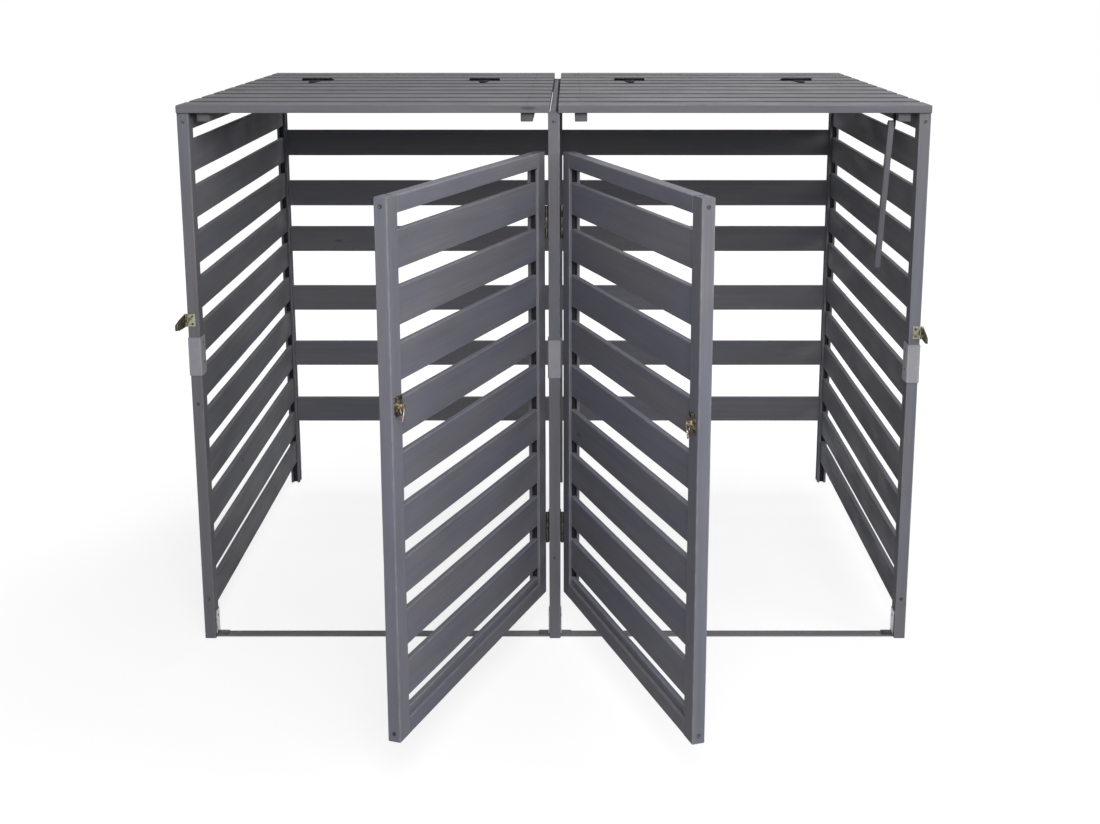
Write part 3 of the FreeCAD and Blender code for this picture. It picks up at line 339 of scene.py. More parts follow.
# %% Helpers that mix nodes
class Nodes:
    """A tree of shader nodes: every call adds a node and hands back one of its outputs."""

    def __init__(self, tree):
        self.tree = tree

    def feed(self, socket, value):
        """A link from another node, or else a constant; a colour is given without alpha."""
        if isinstance(value, bpy.types.NodeSocket):
            self.tree.links.new(value, socket)
        else:
            socket.default_value = (*value, 1) if socket.type == "RGBA" else value

    def add(self, kind, inputs=None, output=0, **settings):
        """A node of one kind, with its settings and inputs."""
        node = self.tree.nodes.new("ShaderNode" + kind)
        for key, value in settings.items():
            setattr(node, key, value)
        for key, value in (inputs or {}).items():
            self.feed(node.inputs[key], value)
        return node.outputs[output]

    def mark(self, key, output="Fac"):
        """A mark that travels with the mesh's points."""
        return self.add("Attribute", output=output, attribute_name=key)

    def place(self):
        """The point's place in its object."""
        return self.add("TexCoord", output="Object")

    def math(self, operation, first, second):
        """Two numbers put together."""
        return self.add("Math", {0: first, 1: second}, operation=operation)

    def vector(self, operation, first, second):
        """Two vectors put together."""
        return self.add("VectorMath", {0: first, 1: second}, operation=operation)

    def plus(self, total, source, weight):
        """total + source x weight."""
        return self.math("ADD", total, self.math("MULTIPLY", source, weight))

    def scaled(self, colour, factor):
        """A colour made lighter or darker."""
        return self.add("VectorMath", {0: colour, "Scale": factor}, operation="SCALE")

    def noise(self, place, scale, detail=2.0, roughness=0.5, output="Fac"):
        """Soft noise; the scale is one number, or one for each axis."""
        scale = scale if isinstance(scale, tuple) else (scale,) * 3
        return self.add("TexNoise", {"Vector": self.vector("MULTIPLY", place, scale),
                                     "Scale": 1.0, "Detail": detail, "Roughness": roughness},
                        output=output)

    def between(self, value, low, high, at_low=0.0, at_high=1.0):
        """A smooth step from one number to another while the value goes from low to high."""
        return self.add("MapRange", {"Value": value, "From Min": low, "From Max": high,
                                     "To Min": at_low, "To Max": at_high},
                        interpolation_type="SMOOTHSTEP")

    def blend(self, share, first, second):
        """The first colour at share 0 and the second at share 1."""
        return self.add("Mix", {0: share, 6: first, 7: second}, output=2, data_type="RGBA")


class Finish(Nodes):
    """A material being mixed, round the one shader that it starts with."""

    def __init__(self, name, **constants):
        self.material = bpy.data.materials.new(name)
        self.material.use_nodes = True
        super().__init__(self.material.node_tree)
        self.shader = self.tree.nodes["Principled BSDF"]
        self.set(**constants)

    def set(self, **values):
        """Numbers, colours or patterns for the shader's own sockets."""
        for key, value in values.items():
            self.feed(self.shader.inputs[key.replace("_", " ")], value)

    def done(self, colour, roughness, relief, depth, strength=1.0):
        """The finished material: its colour, its roughness, and fine relief of some depth."""
        bump = self.add("Bump", {"Height": relief, "Distance": depth, "Strength": strength})
        self.set(Base_Color=colour, Roughness=roughness, Normal=bump)
        return self.material


# %% [markdown]
# ## Stained softwood
# The photographed wood is spruce or fir under a thin grey stain with a breath of violet. From
# a few metres it looks soft and cloudy, because the stain sinks in unevenly. Close to, fine
# fibres run along the board, growth rings show here and there, and a few knots make dark ovals
# that the fibres flow round. All of it is worked out in the log: rings are bands of distance
# from its middle line, and all is drawn out along the fibres. A flat colour with a bump would
# look like painted plastic, and even rings all over like corduroy.

# %% Sizes of the grain
RING_WIDTH = 4.4 * MM
WAVE_TURNS = 20
DRIFT = (0.0, 0.02, 0.02)
KNOT_SWELL = 6 * MM
KNOT_SHADE, RING_SHADE, TONE_SHADE = -0.38, 0.07, 0.05
RELIEF = 0.22 * MM
# Cells in a metre along and across the fibres.
KNOTS, DRIFTS = (3.6, 12.0, 12.0), (1.4, 10.0, 10.0)
RING_GROUPS, TINT_CLOUDS, RUBS = (2.0, 18.0, 18.0), (2.0, 16.0, 16.0), (40.0, 160.0, 160.0)
# Smooth steps: where each begins and ends, and its values there where they aren't 0 and 1.
KNOTTY = (0.5, 0.6)
SWELLING, CORE = (0.0, 0.34, KNOT_SWELL, 0.0), (0.035, 0.07, 1.0, 0.0)
RINGS_SHOW, TINTED, RUBBED = (0.45, 0.7, 0.1, 1.0), (0.38, 0.62), (0.35, 0.75, 0.1, 0.6)
# The first step darkens sawn ends, which soak up stain; the second is painted shade in grooves and
# between roof boards.
ENDS_SOAK, GAP_SHADE = (-0.5, 0.0, 0.8, 1.0), (-0.95, -0.65, 0.2, 1.0)
ROUGHNESS = (-0.2, 0.2, 0.62, 0.8)
# For each pattern: its cells, its detail and roughness, and its share in the shade.
PATTERNS = {
    "fibres": ((9.0, 620.0, 620.0), 3.0, 0.6, 0.22),
    "streaks": ((2.4, 130.0, 130.0), 2.0, 0.5, 0.20),
    "bands": ((1.1, 42.0, 42.0), 1.0, 0.5, 0.22),
    "clouds": ((7.0, 24.0, 24.0), 3.0, 0.5, 0.34),
}
print("patterns in the grain:", ", ".join(PATTERNS))


# %% Wood as it lies in the log
def stained_wood(name, cool, warm, pale):
    """Grey stained softwood: two tints of stain, and a paler one for rubbed edges.

    Ring number = distance from the log's middle / ring width, bent by slow noise and by knots.
    Shade = 1 + the weighted sum of fibres, streaks, bands, clouds, rings and the board's tone.
    """
    wood = Finish(name, IOR=1.45, Specular_IOR_Level=0.22)
    log = wood.mark("grain", "Vector")
    knot = wood.add("TexVoronoi", {"Vector": wood.vector("MULTIPLY", log, KNOTS),
                                   "Scale": 1.0}, output="Distance")
    lot = wood.add("SeparateXYZ", {0: knot.node.outputs["Color"]})
    grows = wood.between(lot, *KNOTTY)
    swell = wood.math("MULTIPLY", wood.between(knot, *SWELLING), grows)
    core = wood.math("MULTIPLY", wood.between(knot, *CORE), grows)
    drift = wood.vector("SUBTRACT", wood.noise(log, DRIFTS, output="Color"), (0.5, 0.5, 0.5))
    bent = wood.vector("ADD", wood.vector("ADD", log, wood.vector("MULTIPLY", drift, DRIFT)),
                       wood.add("CombineXYZ", {1: swell, 2: swell}))
    rings = wood.add("TexWave", {"Vector": bent, "Scale": TURN / WAVE_TURNS / RING_WIDTH,
                                 "Distortion": 0.0}, output="Fac", wave_type="RINGS",
                     rings_direction="X", wave_profile="SAW")
    shown = wood.between(wood.noise(log, RING_GROUPS), *RINGS_SHOW)
    rings = wood.math("MULTIPLY", wood.math("SUBTRACT", rings, 0.5), shown)

    shade = wood.plus(1.0, core, KNOT_SHADE)
    pattern = {}
    for key, (*cells_and_detail, share) in PATTERNS.items():
        noise = wood.noise(log if key == "clouds" else bent, *cells_and_detail)
        pattern[key] = wood.math("SUBTRACT", noise, 0.5)
        shade = wood.plus(shade, pattern[key], share)
    shade = wood.plus(wood.plus(shade, rings, RING_SHADE), wood.mark("tone"), TONE_SHADE)
    tint = wood.between(wood.noise(log, TINT_CLOUDS), *TINTED)
    edge = wood.mark("edge")
    # Sawn ends soak up stain and are darker; grooves and the gaps between roof boards get painted
    # shade.
    soaked_and_shaded = wood.math("MULTIPLY", wood.between(edge, *ENDS_SOAK),
                       wood.between(edge, *GAP_SHADE))
    colour = wood.scaled(wood.scaled(wood.blend(tint, cool, warm), shade), soaked_and_shaded)
    worn = wood.math("MULTIPLY", wood.between(edge, 0.0, 1.0),
                     wood.between(wood.noise(log, RUBS), *RUBBED))
    relief = wood.plus(wood.plus(pattern["fibres"], rings, 0.3), core, -0.6)
    return wood.done(wood.blend(worn, colour, pale),
                     wood.between(pattern["clouds"], *ROUGHNESS), relief, RELIEF, 0.8)


# %% Four stains
STAINS = {
    "frame": ((0.158, 0.162, 0.188), (0.172, 0.166, 0.178), (0.26, 0.26, 0.29)),
    "slat": ((0.172, 0.177, 0.203), (0.187, 0.181, 0.193), (0.26, 0.26, 0.285)),
    "door": ((0.168, 0.173, 0.212), (0.182, 0.178, 0.200), (0.27, 0.27, 0.30)),
    "roof": ((0.151, 0.154, 0.176), (0.165, 0.160, 0.169), (0.16, 0.16, 0.18)),
}
WOODS = {key + "_timber": stained_wood(key + "_wood", *tints) for key, tints in STAINS.items()}
print("woods mixed:", sorted(WOODS))

# %% [markdown]
# ## Plated and coated steel
# The latches and butt hinges are passivated zinc, a thin film that drifts between gold, rose,
# olive and nearly black. The hasps' film is duller, like khaki. The T hinges are coated black,
# the sleeves a matt grey. The angle brackets are galvanised, with faint crystals of hot zinc,
# and the bars at the ground have gone dull. Each finish reads the object's own coordinates, so
# the pattern stays with the metal.

# %% Thin films on zinc
# Painted shade: the dark colour laid into the cross and round the rim of each screw head.
RECESS_SHADE = (0.02, 0.018, 0.016)
RECESS_SHADE_COVER = 0.9
# Cells in a metre, how much finer the third tint's cells are, and where most of a noise lies.
SCUFFS = (900.0, 900.0, 260.0)
FINER = 2.3
USUAL = (0.3, 0.7)


def with_painted_shade(steel, colour):
    """A colour darkened by painted shade where a screw head's cross and rim are marked."""
    return steel.blend(steel.math("MULTIPLY", steel.mark("recess_shade"), RECESS_SHADE_COVER), colour, RECESS_SHADE)


def zinc_film(name, roughness, patches, *tints):
    """Passivated zinc: a slow noise mixes two tints, and a finer one lays a third over them."""
    steel = Finish(name, Metallic=1.0)
    place = steel.place()
    drift = steel.between(steel.noise(place, patches, 3.0), 0.42, 0.58)
    fine = steel.between(steel.noise(place, FINER * patches), 0.5, 0.66)
    tint = steel.blend(fine, steel.blend(drift, *tints[:2]), tints[2])
    scuff = steel.noise(place, SCUFFS)
    dull = steel.between(scuff, *USUAL, roughness, roughness + 0.18)
    return steel.done(with_painted_shade(steel, tint), dull, scuff, 0.06 * MM)


# For each film: roughness, patches in a metre, and the three tints.
FILMS = {
    "latch_gold": (0.22, 150.0, (0.52, 0.47, 0.33), (0.25, 0.15, 0.125), (0.07, 0.058, 0.045)),
    "hasp_plate": (0.34, 110.0, (0.29, 0.28, 0.21), (0.22, 0.20, 0.145), (0.36, 0.35, 0.27)),
    "hasp_strap": (0.36, 70.0, (0.12, 0.10, 0.06), (0.085, 0.07, 0.042), (0.19, 0.17, 0.11)),
    "butt_hinge": (0.34, 40.0, (0.10, 0.105, 0.08), (0.118, 0.104, 0.082), (0.045, 0.043, 0.04)),
    "screw_zinc": (0.26, 70.0, (0.10, 0.097, 0.095), (0.07, 0.06, 0.055), (0.24, 0.225, 0.20)),
}
STEELS = {key: zinc_film(key + "_film", *film) for key, film in FILMS.items()}
print("films on zinc:", ", ".join(STEELS))

# %% Coats and hot zinc
RUBBED_PATCHES, ORANGE_PEEL, CRYSTALS, CAST_SKIN = 24.0, 700.0, 190.0, 600.0
TRODDEN = (0.055, 0.053, 0.057)
TRODDEN_COVER = 0.85
MUD_FROM = 0.6
FOOT_HEIGHT = 12 * MM


def powder_coat(name, colour, pale, roughness, gloss, metallic=0.0):
    """A coat with fine orange peel, rubbed paler in patches and along its edges."""
    steel = Finish(name, Metallic=metallic, Specular_IOR_Level=gloss)
    place = steel.place()
    patch = steel.noise(place, RUBBED_PATCHES, 4.0)
    rubbed = steel.math("MAXIMUM", steel.between(patch, 0.45, 0.75, 0.0, 0.7),
                        steel.mark("edge"))
    coat = with_painted_shade(steel, steel.blend(rubbed, colour, pale))
    dull = steel.between(patch, *USUAL, roughness, roughness + 0.12)
    return steel.done(coat, dull, steel.noise(place, ORANGE_PEEL), 0.05 * MM)


def spangled_zinc(name, dark, light, metallic, roughness, trodden=0.0):
    """Hot dip zinc: flat crystals a few millimetres across, each a little lighter or darker.

    Below the height given as trodden, boots and splashed earth have made the metal dull.
    """
    steel = Finish(name, Metallic=metallic)
    place = steel.place()
    crystal = steel.add("TexVoronoi", {"Vector": place, "Scale": CRYSTALS}, output="Color")
    level = steel.add("SeparateXYZ", {0: crystal})
    colour = steel.blend(level, dark, light)
    if trodden:
        height = steel.add("SeparateXYZ", {0: place}, output="Z")
        muddy = steel.between(height, MUD_FROM * trodden, trodden, TRODDEN_COVER, 0.0)
        colour = steel.blend(muddy, colour, TRODDEN)
    dull = steel.between(level, 0.0, 1.0, roughness, roughness + 0.2)
    return steel.done(colour, dull, steel.noise(place, CAST_SKIN), 0.04 * MM)


STEELS["black_coat"] = powder_coat("black_coat", (0.010, 0.010, 0.012), (0.022, 0.022, 0.025),
                                   0.7, 0.04)
STEELS["grey_coat"] = powder_coat("grey_coat", (0.285, 0.282, 0.312), (0.34, 0.34, 0.365),
                                  0.42, 0.4, 0.15)
STEELS["hot_zinc"] = spangled_zinc("hot_zinc", (0.40, 0.41, 0.43), (0.60, 0.61, 0.64), 0.9, 0.32,
                                   FOOT_HEIGHT)
STEELS["dull_zinc"] = spangled_zinc("dull_zinc", (0.175, 0.169, 0.180), (0.21, 0.202, 0.215),
                                    0.3, 0.5)
print("steels mixed:", sorted(STEELS))

# %% [markdown]
# ## Posts, rails and slats that stand still
# A post is a plain bar but for the grooves that hold the slats, so its outline is a rectangle
# with notches. Each groove faces its slats, and is as wide as a slat and a little play. Rails,
# slats and boards are plain rectangles, and a piece of several lengths is first taken apart.

# %% Outlines with grooves
GROOVE_DEEP = 10 * MM
GROOVE_PLAY = 0.3 * MM
RADIUS_SHARE = 0.3
INWARD = {"south": (0, 1), "east": (-1, 0), "north": (0, -1), "west": (1, 0)}


def notched(low, high, radius, grooves):
    """Corners and radii of a rectangle; a groove is given by its side, middle and width.

    The corners run round from the south side, and a groove adds four more to its side.
    """
    corners = [(low[0], low[1]), (high[0], low[1]), (high[0], high[1]), (low[0], high[1])]
    outline = []
    radii = []
    for corner, (side, inward) in zip(corners, INWARD.items()):
        outline.append(np.array(corner))
        radii.append(min(radius, RADIUS_SHARE * min(high - low)))
        if side not in grooves:
            continue
        middle, wide = grooves[side]
        inward = np.array(inward)
        forward = inward[::-1] * (1, -1)
        face = np.array(corner) * np.abs(inward)
        for step, depth in ((-1, 0), (-1, 1), (1, 1), (1, 0)):
            across = np.abs(forward) * middle + forward * step * wide / 2
            outline.append(face + across + inward * depth * GROOVE_DEEP)
            radii.append(LIP_RADIUS)
    return outline, radii


def dress(node, seed, axis=None, grooves=(), side=None, levels=4, roof=False):
    """New boards for a measured piece, in its place; a door's boards are made shut and swung.

    Roof boards have crisp edges, and their long narrow faces get painted shade for the gaps
    between them. Only the front of the front board stays light.
    """
    random = np.random.default_rng(seed)
    points = points_of(node)
    if side:
        points = swung(points, side, -1)
    boxes = [limits(points)] if axis is None else stacked(points, axis, levels)
    boards = []
    for low, high in boxes:
        run = int(np.argmax(high - low))
        across = ACROSS[run]
        corners, radii = notched(low[across], high[across], ROOF_EDGE if roof else EDGE_RADIUS,
                                 grooves)
        # Roof boards get painted shade on the narrow faces that look into the gaps.
        shaded_faces = ((0, 1) if low[Y] > 0 else (1,)) if roof else ()
        boards.append(board(corners, radii, run, low[run], high[run], random, shaded_faces=shaded_faces))
    return stand_in(boards_object(node + "_wood", boards, WOODS[SLOTS[node]], side), node)


# %% The standing frame
slats = points_of("left_side_slats")
side_middle = middle_of(slats)[X]
groove_wide = np.ptp(slats[:, X]) + 2 * GROOVE_PLAY
rear_groove = (middle_of(points_of("left_rear_slats"))[Y], groove_wide)
rear_grooves = {"left": {"east": rear_groove}, "right": {"west": rear_groove}, "centre": {}}
middles = {"left": side_middle, "right": -side_middle,
           "centre": middle_of(points_of("centre_top_rail"))[X]}
posts = {f"{place}_front_post": {"north": (middle, groove_wide)}
         for place, middle in middles.items()}
posts |= {f"{place}_rear_post": {"south": (middle, groove_wide)} | rear_grooves[place]
          for place, middle in middles.items()}
for count, (post, grooves) in enumerate(posts.items()):
    dress(post, 11 + count, grooves=grooves)
for count, side in enumerate(SIDES):
    dress(f"{side}_side_slats", 20 + count, axis=Z)
    dress(f"{side}_rear_slats", 30 + count, axis=Z)
    dress(f"{side}_top_rail", 40 + count)
    dress(f"{side}_bottom_rail", 50 + count)
    dress(f"{side}_fixed_boards", 70 + count, axis=Y, roof=True)
dress("centre_top_rail", 81)
dress("rear_top_rails", 82, axis=X, levels=2)
dress("fixed_roof_battens", 83, axis=X)

# %% [markdown]
# ## The lids and the doors
# The lids are boards on battens, like the fixed part of the roof. A door is two grooved stiles,
# two rails and housed slats. It is built shut, square to the axes, and its finished points are
# then swung about the pins, so the object stays at the origin.

# %% Lids and doors
for count, side in enumerate(SIDES):
    dress(f"{side}_lid_boards", 90 + count, axis=Y, roof=True)
    dress(f"{side}_lid_battens", 100 + count, axis=X)
    shut = swung(points_of(f"{side}_door_slats"), side, -1)
    slat_groove = (middle_of(shut)[Y], groove_wide)
    toward_hinge, toward_free = ("west", "east")[::OUTWARD[side]]
    dress(f"{side}_door_hinge_stile", 110 + count, grooves={toward_free: slat_groove}, side=side)
    dress(f"{side}_door_free_stile", 120 + count, grooves={toward_hinge: slat_groove}, side=side)
    dress(f"{side}_door_top_rail", 130 + count, side=side)
    dress(f"{side}_door_bottom_rail", 140 + count, side=side)
    dress(f"{side}_door_slats", 150 + count, axis=Z, side=side)
print("doors dressed, shut width", round(float(np.ptp(shut[:, X])) / MM), "mm")

# %% [markdown]
# ## Steel with softened edges
# The measured steel pieces already have the right outline, knuckles and holes. What they lack is
# the small round of every sheared and tumbled edge, which catches the light. Modelling them
# again would only copy them, so their loose triangles are joined, the flat faces made whole, and
# the edges rounded with a bevel that knows real edges from facets by their angle.

# %% Copies of the steel pieces
JOIN_WITHIN = 0.01 * MM
FLAT_WITHIN = math.radians(0.5)
EDGE_FROM = math.radians(35)


def softened(node, width, material, suffix="_steel"):
    """A copy of a measured piece with joined triangles and rounded edges."""
    mesh = frame["nodes"][node].data.copy()
    work = bmesh.new()
    work.from_mesh(mesh)
    bmesh.ops.remove_doubles(work, verts=work.verts, dist=JOIN_WITHIN)
    bmesh.ops.dissolve_limit(work, angle_limit=FLAT_WITHIN, verts=work.verts, edges=work.edges)
    work.to_mesh(mesh)
    work.free()
    mesh.materials.clear()
    mesh.materials.append(material)
    mesh.shade_smooth()
    piece = placed(node + suffix, mesh)
    bevel = piece.modifiers.new("rounded edges", "BEVEL")
    bevel.width = width
    bevel.segments = 2
    bevel.limit_method = "ANGLE"
    bevel.angle_limit = EDGE_FROM
    bevel.harden_normals = True
    return stand_in(piece, node)


# For each group: its finish, the round of its edges in millimetres, and its pieces.
STEEL_PIECES = (
    ("butt_hinge", 0.3, ("post_hinge_leaves", "left_door_hinge_leaves",
                         "right_door_hinge_leaves", "door_hinge_pins")),
    ("black_coat", 0.4, ("lid_hinge_leaves", "lid_hinge_pins", "left_lid_straps",
                         "right_lid_straps", "prop_bracket")),
    ("hasp_plate", 0.3, ("left_hasp_plate", "right_hasp_plate", "hasp_pins")),
    ("hasp_strap", 0.3, ("left_hasp_strap", "right_hasp_strap")),
    ("latch_gold", 0.3, ("left_keep_plate", "right_keep_plate")),
    ("hot_zinc", 0.3, ("threshold_brackets",)),
    ("dull_zinc", 0.3, ("left_threshold_bar", "right_threshold_bar")),
    ("latch_gold", 0.1, ("left_drop_link", "right_drop_link")),
)
for finish, width, nodes in STEEL_PIECES:
    for node in nodes:
        softened(node, width * MM, STEELS[finish])

# %% [markdown]
# ## The prop stick
# The stick has a round head and hangs at a slant from its pin. Its shape is right as measured,
# so it is softened like the steel, but wood needs to know where it lay in the log. That place
# is the distance along the slanted stick, and the two across it.

# %% Prop stick
STICK_IN_LOG = (0, 30 * MM, 20 * MM)

stick = softened("prop_stick", 0.9 * MM, WOODS["frame_timber"], "_wood")
lean = math.radians(-JOINTS["prop_pivot"]["range_deg"][0])
down = np.array([0, math.sin(lean), -math.cos(lean)])
forward = np.array([0, math.cos(lean), math.sin(lean)])
arm = points_in(stick.data) - JOINTS["prop_pivot"]["pos_m"]
log_place = np.stack([arm @ down, arm[:, X], arm @ forward], axis=1) + STICK_IN_LOG
put_marks(stick.data, {"grain": log_place})
print("prop stick hangs", round(math.degrees(lean)), "degrees back")

# %% [markdown]
# ## Post sleeves
# Each front post wears a sleeve folded from one strip of sheet. A folded edge isn't sharp: its
# radius is a bit over the sheet's thickness outside, and less inside. The outline is the strip
# seen on edge, with those radii at its corners, carried up the post.

# %% Folded sleeves
SHEET = 2 * MM
OUTER_BEND = 3.4 * MM
INNER_BEND = 0.9 * MM
CUT_EDGE = 0.6 * MM
POST_GAP = 100 * MM


def sleeve(points, random):
    """One folded strip round the front and both sides of a post, as a U seen from above."""
    low, high = limits(points)
    outside = [(low[X], low[Y]), (high[X], low[Y]), (high[X], high[Y])]
    inside = [(high[X] - SHEET, high[Y]), (high[X] - SHEET, low[Y] + SHEET),
              (low[X] + SHEET, low[Y] + SHEET), (low[X] + SHEET, high[Y])]
    radii = [OUTER_BEND] * 2 + [CUT_EDGE] * 2 + [INNER_BEND] * 2 + [CUT_EDGE] * 2
    return board(outside + inside + [(low[X], high[Y])], radii, Z, low[Z], high[Z], random,
                 ripple=0)


random = np.random.default_rng(200)
measured_sleeves = apart(points_of("post_sleeves"), X, POST_GAP)
strips = [sleeve(points, random) for points in measured_sleeves]
sleeves = boards_object("post_sleeves_steel", strips, STEELS["grey_coat"])
stand_in(sleeves, "post_sleeves")
print("sleeves folded:", len(strips))

# %% [markdown]
# ## Screws
# A screw head is a low dome with a cross pressed into it: a height over a disc, which falls with
# the fourth power of the radius and is less near two lines through the middle. There are well
# over a hundred heads, so each has about a hundred faces. A mark says where shade is painted:
# in the cross and round the rim.

# %% One head as a height over a disc
SPOKES = 16
AROUND = np.arange(SPOKES) * TURN / SPOKES
RING_STOPS = np.array([0.17, 0.34, 0.52, 0.7, 0.88, 1.0])
HEAD_LIFT = 0.02 * MM
DOME_FALL = 0.35
CROSS_DEEP, CROSS_HALF, CROSS_REACH = 0.7, 0.12, 0.6
RIM_FROM = 0.8


def head_shape(radius, proud):
    """Points of one screw head standing on the plane z = 0, and a mark for painted shade on its
    cross and rim.

    Height = proud (1 - 0.35 (r / R)^4) less 0.7 proud in the cross, on rings and spokes.
    """
    flat = RING_STOPS[:, None, None] * radius * np.stack([np.cos(AROUND), np.sin(AROUND)], axis=1)
    flat = np.concatenate([[(0, 0)], flat.reshape(-1, 2)])
    far = np.linalg.norm(flat, axis=1) / radius
    near_line = np.abs(flat).min(axis=1) < CROSS_HALF * radius
    cross = (near_line & (far < CROSS_REACH)).astype(float)
    height = proud * (1 - DOME_FALL * far ** 4) - CROSS_DEEP * proud * cross
    top = np.column_stack([flat, height])
    foot = top[-SPOKES:] * (1, 1, 0)
    # Painted shade: the cross and the rim are marked to be darkened.
    shaded_spots = np.maximum(cross, far > RIM_FROM)
    return np.concatenate([top, foot]), np.concatenate([shaded_spots, np.ones(SPOKES)])


def head_faces():
    """Triangles round the middle, then rings of quads and the foot, turned to face up."""
    here = np.arange(SPOKES)
    fan = np.stack([np.zeros(SPOKES, int), 1 + here, 1 + (here + 1) % SPOKES], axis=1)
    quads, ends = ring_faces(len(RING_STOPS) + 1, SPOKES)
    return fan, 1 + quads[:, [0, 3, 2, 1]], 1 + ends[1:, ::-1]


# %% Many heads as one piece
# For each kind of screw: the radius of its head, and how far it stands out.
POST_SCREW = (3.6 * MM, 0.78 * MM)
ROOF_SCREW = (3.0 * MM, 0.35 * MM)
PLATE_SCREW = (3.2 * MM, 0.6 * MM)
LEAF_SCREW = (2.5 * MM, 0.5 * MM)
FLUSH_SCREW = (2.5 * MM, 0.12 * MM)
UPRIGHT_FROM = 0.9
HEAD_SHARP = 50


def screws(name, spots, size, body="frame", finish="screw_zinc"):
    """Many screw heads as one object: each spot is a point on a face and the way it faces.

    Each head is turned about its own axis by a random part of a quarter turn.
    """
    shape, shaded_spots = head_shape(*size)
    places, up = (np.array(part, float) for part in zip(*spots))
    up /= np.linalg.norm(up, axis=1)[:, None]
    upright = np.abs(up[:, 2:]) > UPRIGHT_FROM
    aside = np.cross(up, np.where(upright, (1.0, 0, 0), (0, 0, 1.0)))
    aside /= np.linalg.norm(aside, axis=1)[:, None]
    spin = np.random.default_rng(len(spots)).uniform(0, TURN / 4, len(spots))[:, None]
    east = aside * np.cos(spin) + np.cross(up, aside) * np.sin(spin)
    axes = np.stack([east, np.cross(up, east), up], axis=1)
    points = places[:, None] + (shape + (0, 0, HEAD_LIFT)) @ axes
    firsts = np.arange(len(spots))[:, None, None] * len(shape)
    faces = [(block[None] + firsts).reshape(-1, block.shape[1]) for block in head_faces()]
    # The mark carries the painted shade of the cross and rim.
    marks = {"recess_shade": np.tile(shaded_spots, len(spots))}
    piece = mesh_object(name, points.reshape(-1, 3), faces, STEELS[finish], marks, HEAD_SHARP)
    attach(piece, body)
    return piece


# %% [markdown]
# ### Where the screws go
# Some heads were measured, and the new ones take exactly their places. The others follow from
# the box of the piece they hold: two through each roof board into each batten, three through
# each hinge leaf, two through each leg of a sleeve.

# %% Screws in the posts and the doors
OUT_FRONT = (0, -1, 0)
OUT_BACK = (0, 1, 0)
UPWARD = (0, 0, 1)
HEAD_GAP = 5 * MM
HIGH_ROW, LOW_ROW, OUTER_POSTS = 1.0, 0.15, 0.5


def head_boxes(points):
    """Boxes of the measured screw heads, found by the gaps between them."""
    return [limits(head) for column in apart(points, X, HEAD_GAP)
            for head in apart(column, Z, HEAD_GAP)]


def front_spot(low, high):
    """Where a head in a front face sits: the middle of the back of its box."""
    return ((low[X] + high[X]) / 2, high[Y], (low[Z] + high[Z]) / 2), OUT_FRONT


def swung_spots(spots, side):
    """Spots on a shut door, carried to where the door stands open."""
    pin = np.array(JOINTS[f"{side}_door_hinge"]["pos_m"])
    return [(swung(np.array(place), side), swung(pin + facing, side) - pin)
            for place, facing in spots]


front_spots = [front_spot(*box) for box in head_boxes(points_of("frame_screws"))]
heads = screws("front_post_screws", front_spots, POST_SCREW)
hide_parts("frame_screws")

# The rear posts have the high row, and the outer two of them the low row as well.
rear_face = points_of("left_rear_post")[:, Y].max()
rear_spots = [((x, rear_face, z), OUT_BACK) for (x, y, z), facing in front_spots
              if z > HIGH_ROW or (z < LOW_ROW and abs(x) > OUTER_POSTS)]
screws("rear_post_screws", rear_spots, POST_SCREW)

for side, outward in OUTWARD.items():
    spots = []
    for low, high in head_boxes(swung(points_of(f"{side}_door_screws"), side, -1)):
        if high[Y] - low[Y] > high[X] - low[X]:
            x, y, z = (low + high) / 2
            spots.append(((low[X] if outward > 0 else high[X], y, z), (outward, 0, 0)))
        else:
            spots.append(front_spot(low, high))
    heads = screws(f"{side}_door_screw_heads", swung_spots(spots, side), POST_SCREW,
                   f"{side}_door")
    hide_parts(f"{side}_door_screws")
print("screws in posts and doors:", len(front_spots) + len(rear_spots) + 2 * len(spots))

# %% Screws in the roof
BOARD_SCREW_STEP = 26 * MM


def roof_spots(boards_node, battens):
    """Two spots where each board crosses each batten."""
    spots = []
    for low, high in stacked(points_of(boards_node), Y):
        for batten in battens:
            x = sum(batten)[X] / 2
            if low[X] < x < high[X]:
                y = (low[Y] + high[Y]) / 2
                spots += [((x, y + step, high[Z]), UPWARD)
                          for step in (-BOARD_SCREW_STEP, BOARD_SCREW_STEP)]
    return spots


fixed_battens = stacked(points_of("fixed_roof_battens"), X)
fixed_spots = []
for side in SIDES:
    lid_spots = roof_spots(f"{side}_lid_boards", stacked(points_of(f"{side}_lid_battens"), X))
    screws(f"{side}_lid_board_screws", lid_spots, ROOF_SCREW, f"{side}_lid")
    fixed_spots += roof_spots(f"{side}_fixed_boards", fixed_battens)
screws("fixed_board_screws", fixed_spots, ROOF_SCREW)
print("screws in the roof:", len(fixed_spots) + 2 * len(lid_spots))

# %% Screws in the T hinges
HINGE_GAP = 50 * MM
CROSS_STEPS = [(step, -12 * MM) for step in (-28 * MM, 0, 28 * MM)]
TONGUE_STEPS = [(0, reach) for reach in (9 * MM, 40 * MM, 72 * MM)]


def level_spots(node, steps):
    """Spots on the flat tops of hinge plates, which are level with the middle of their pins.

    A step is aside from the plate's middle, and back from its front edge, or forward from
    its back edge where it is negative.
    """
    spots = []
    for leaf in apart(points_of(node), X, HINGE_GAP):
        low, high = limits(leaf)
        x, y, z = middle_of(leaf)
        spots += [((x + aside, (low if reach > 0 else high)[Y] + reach, z), UPWARD)
                  for aside, reach in steps]
    return spots


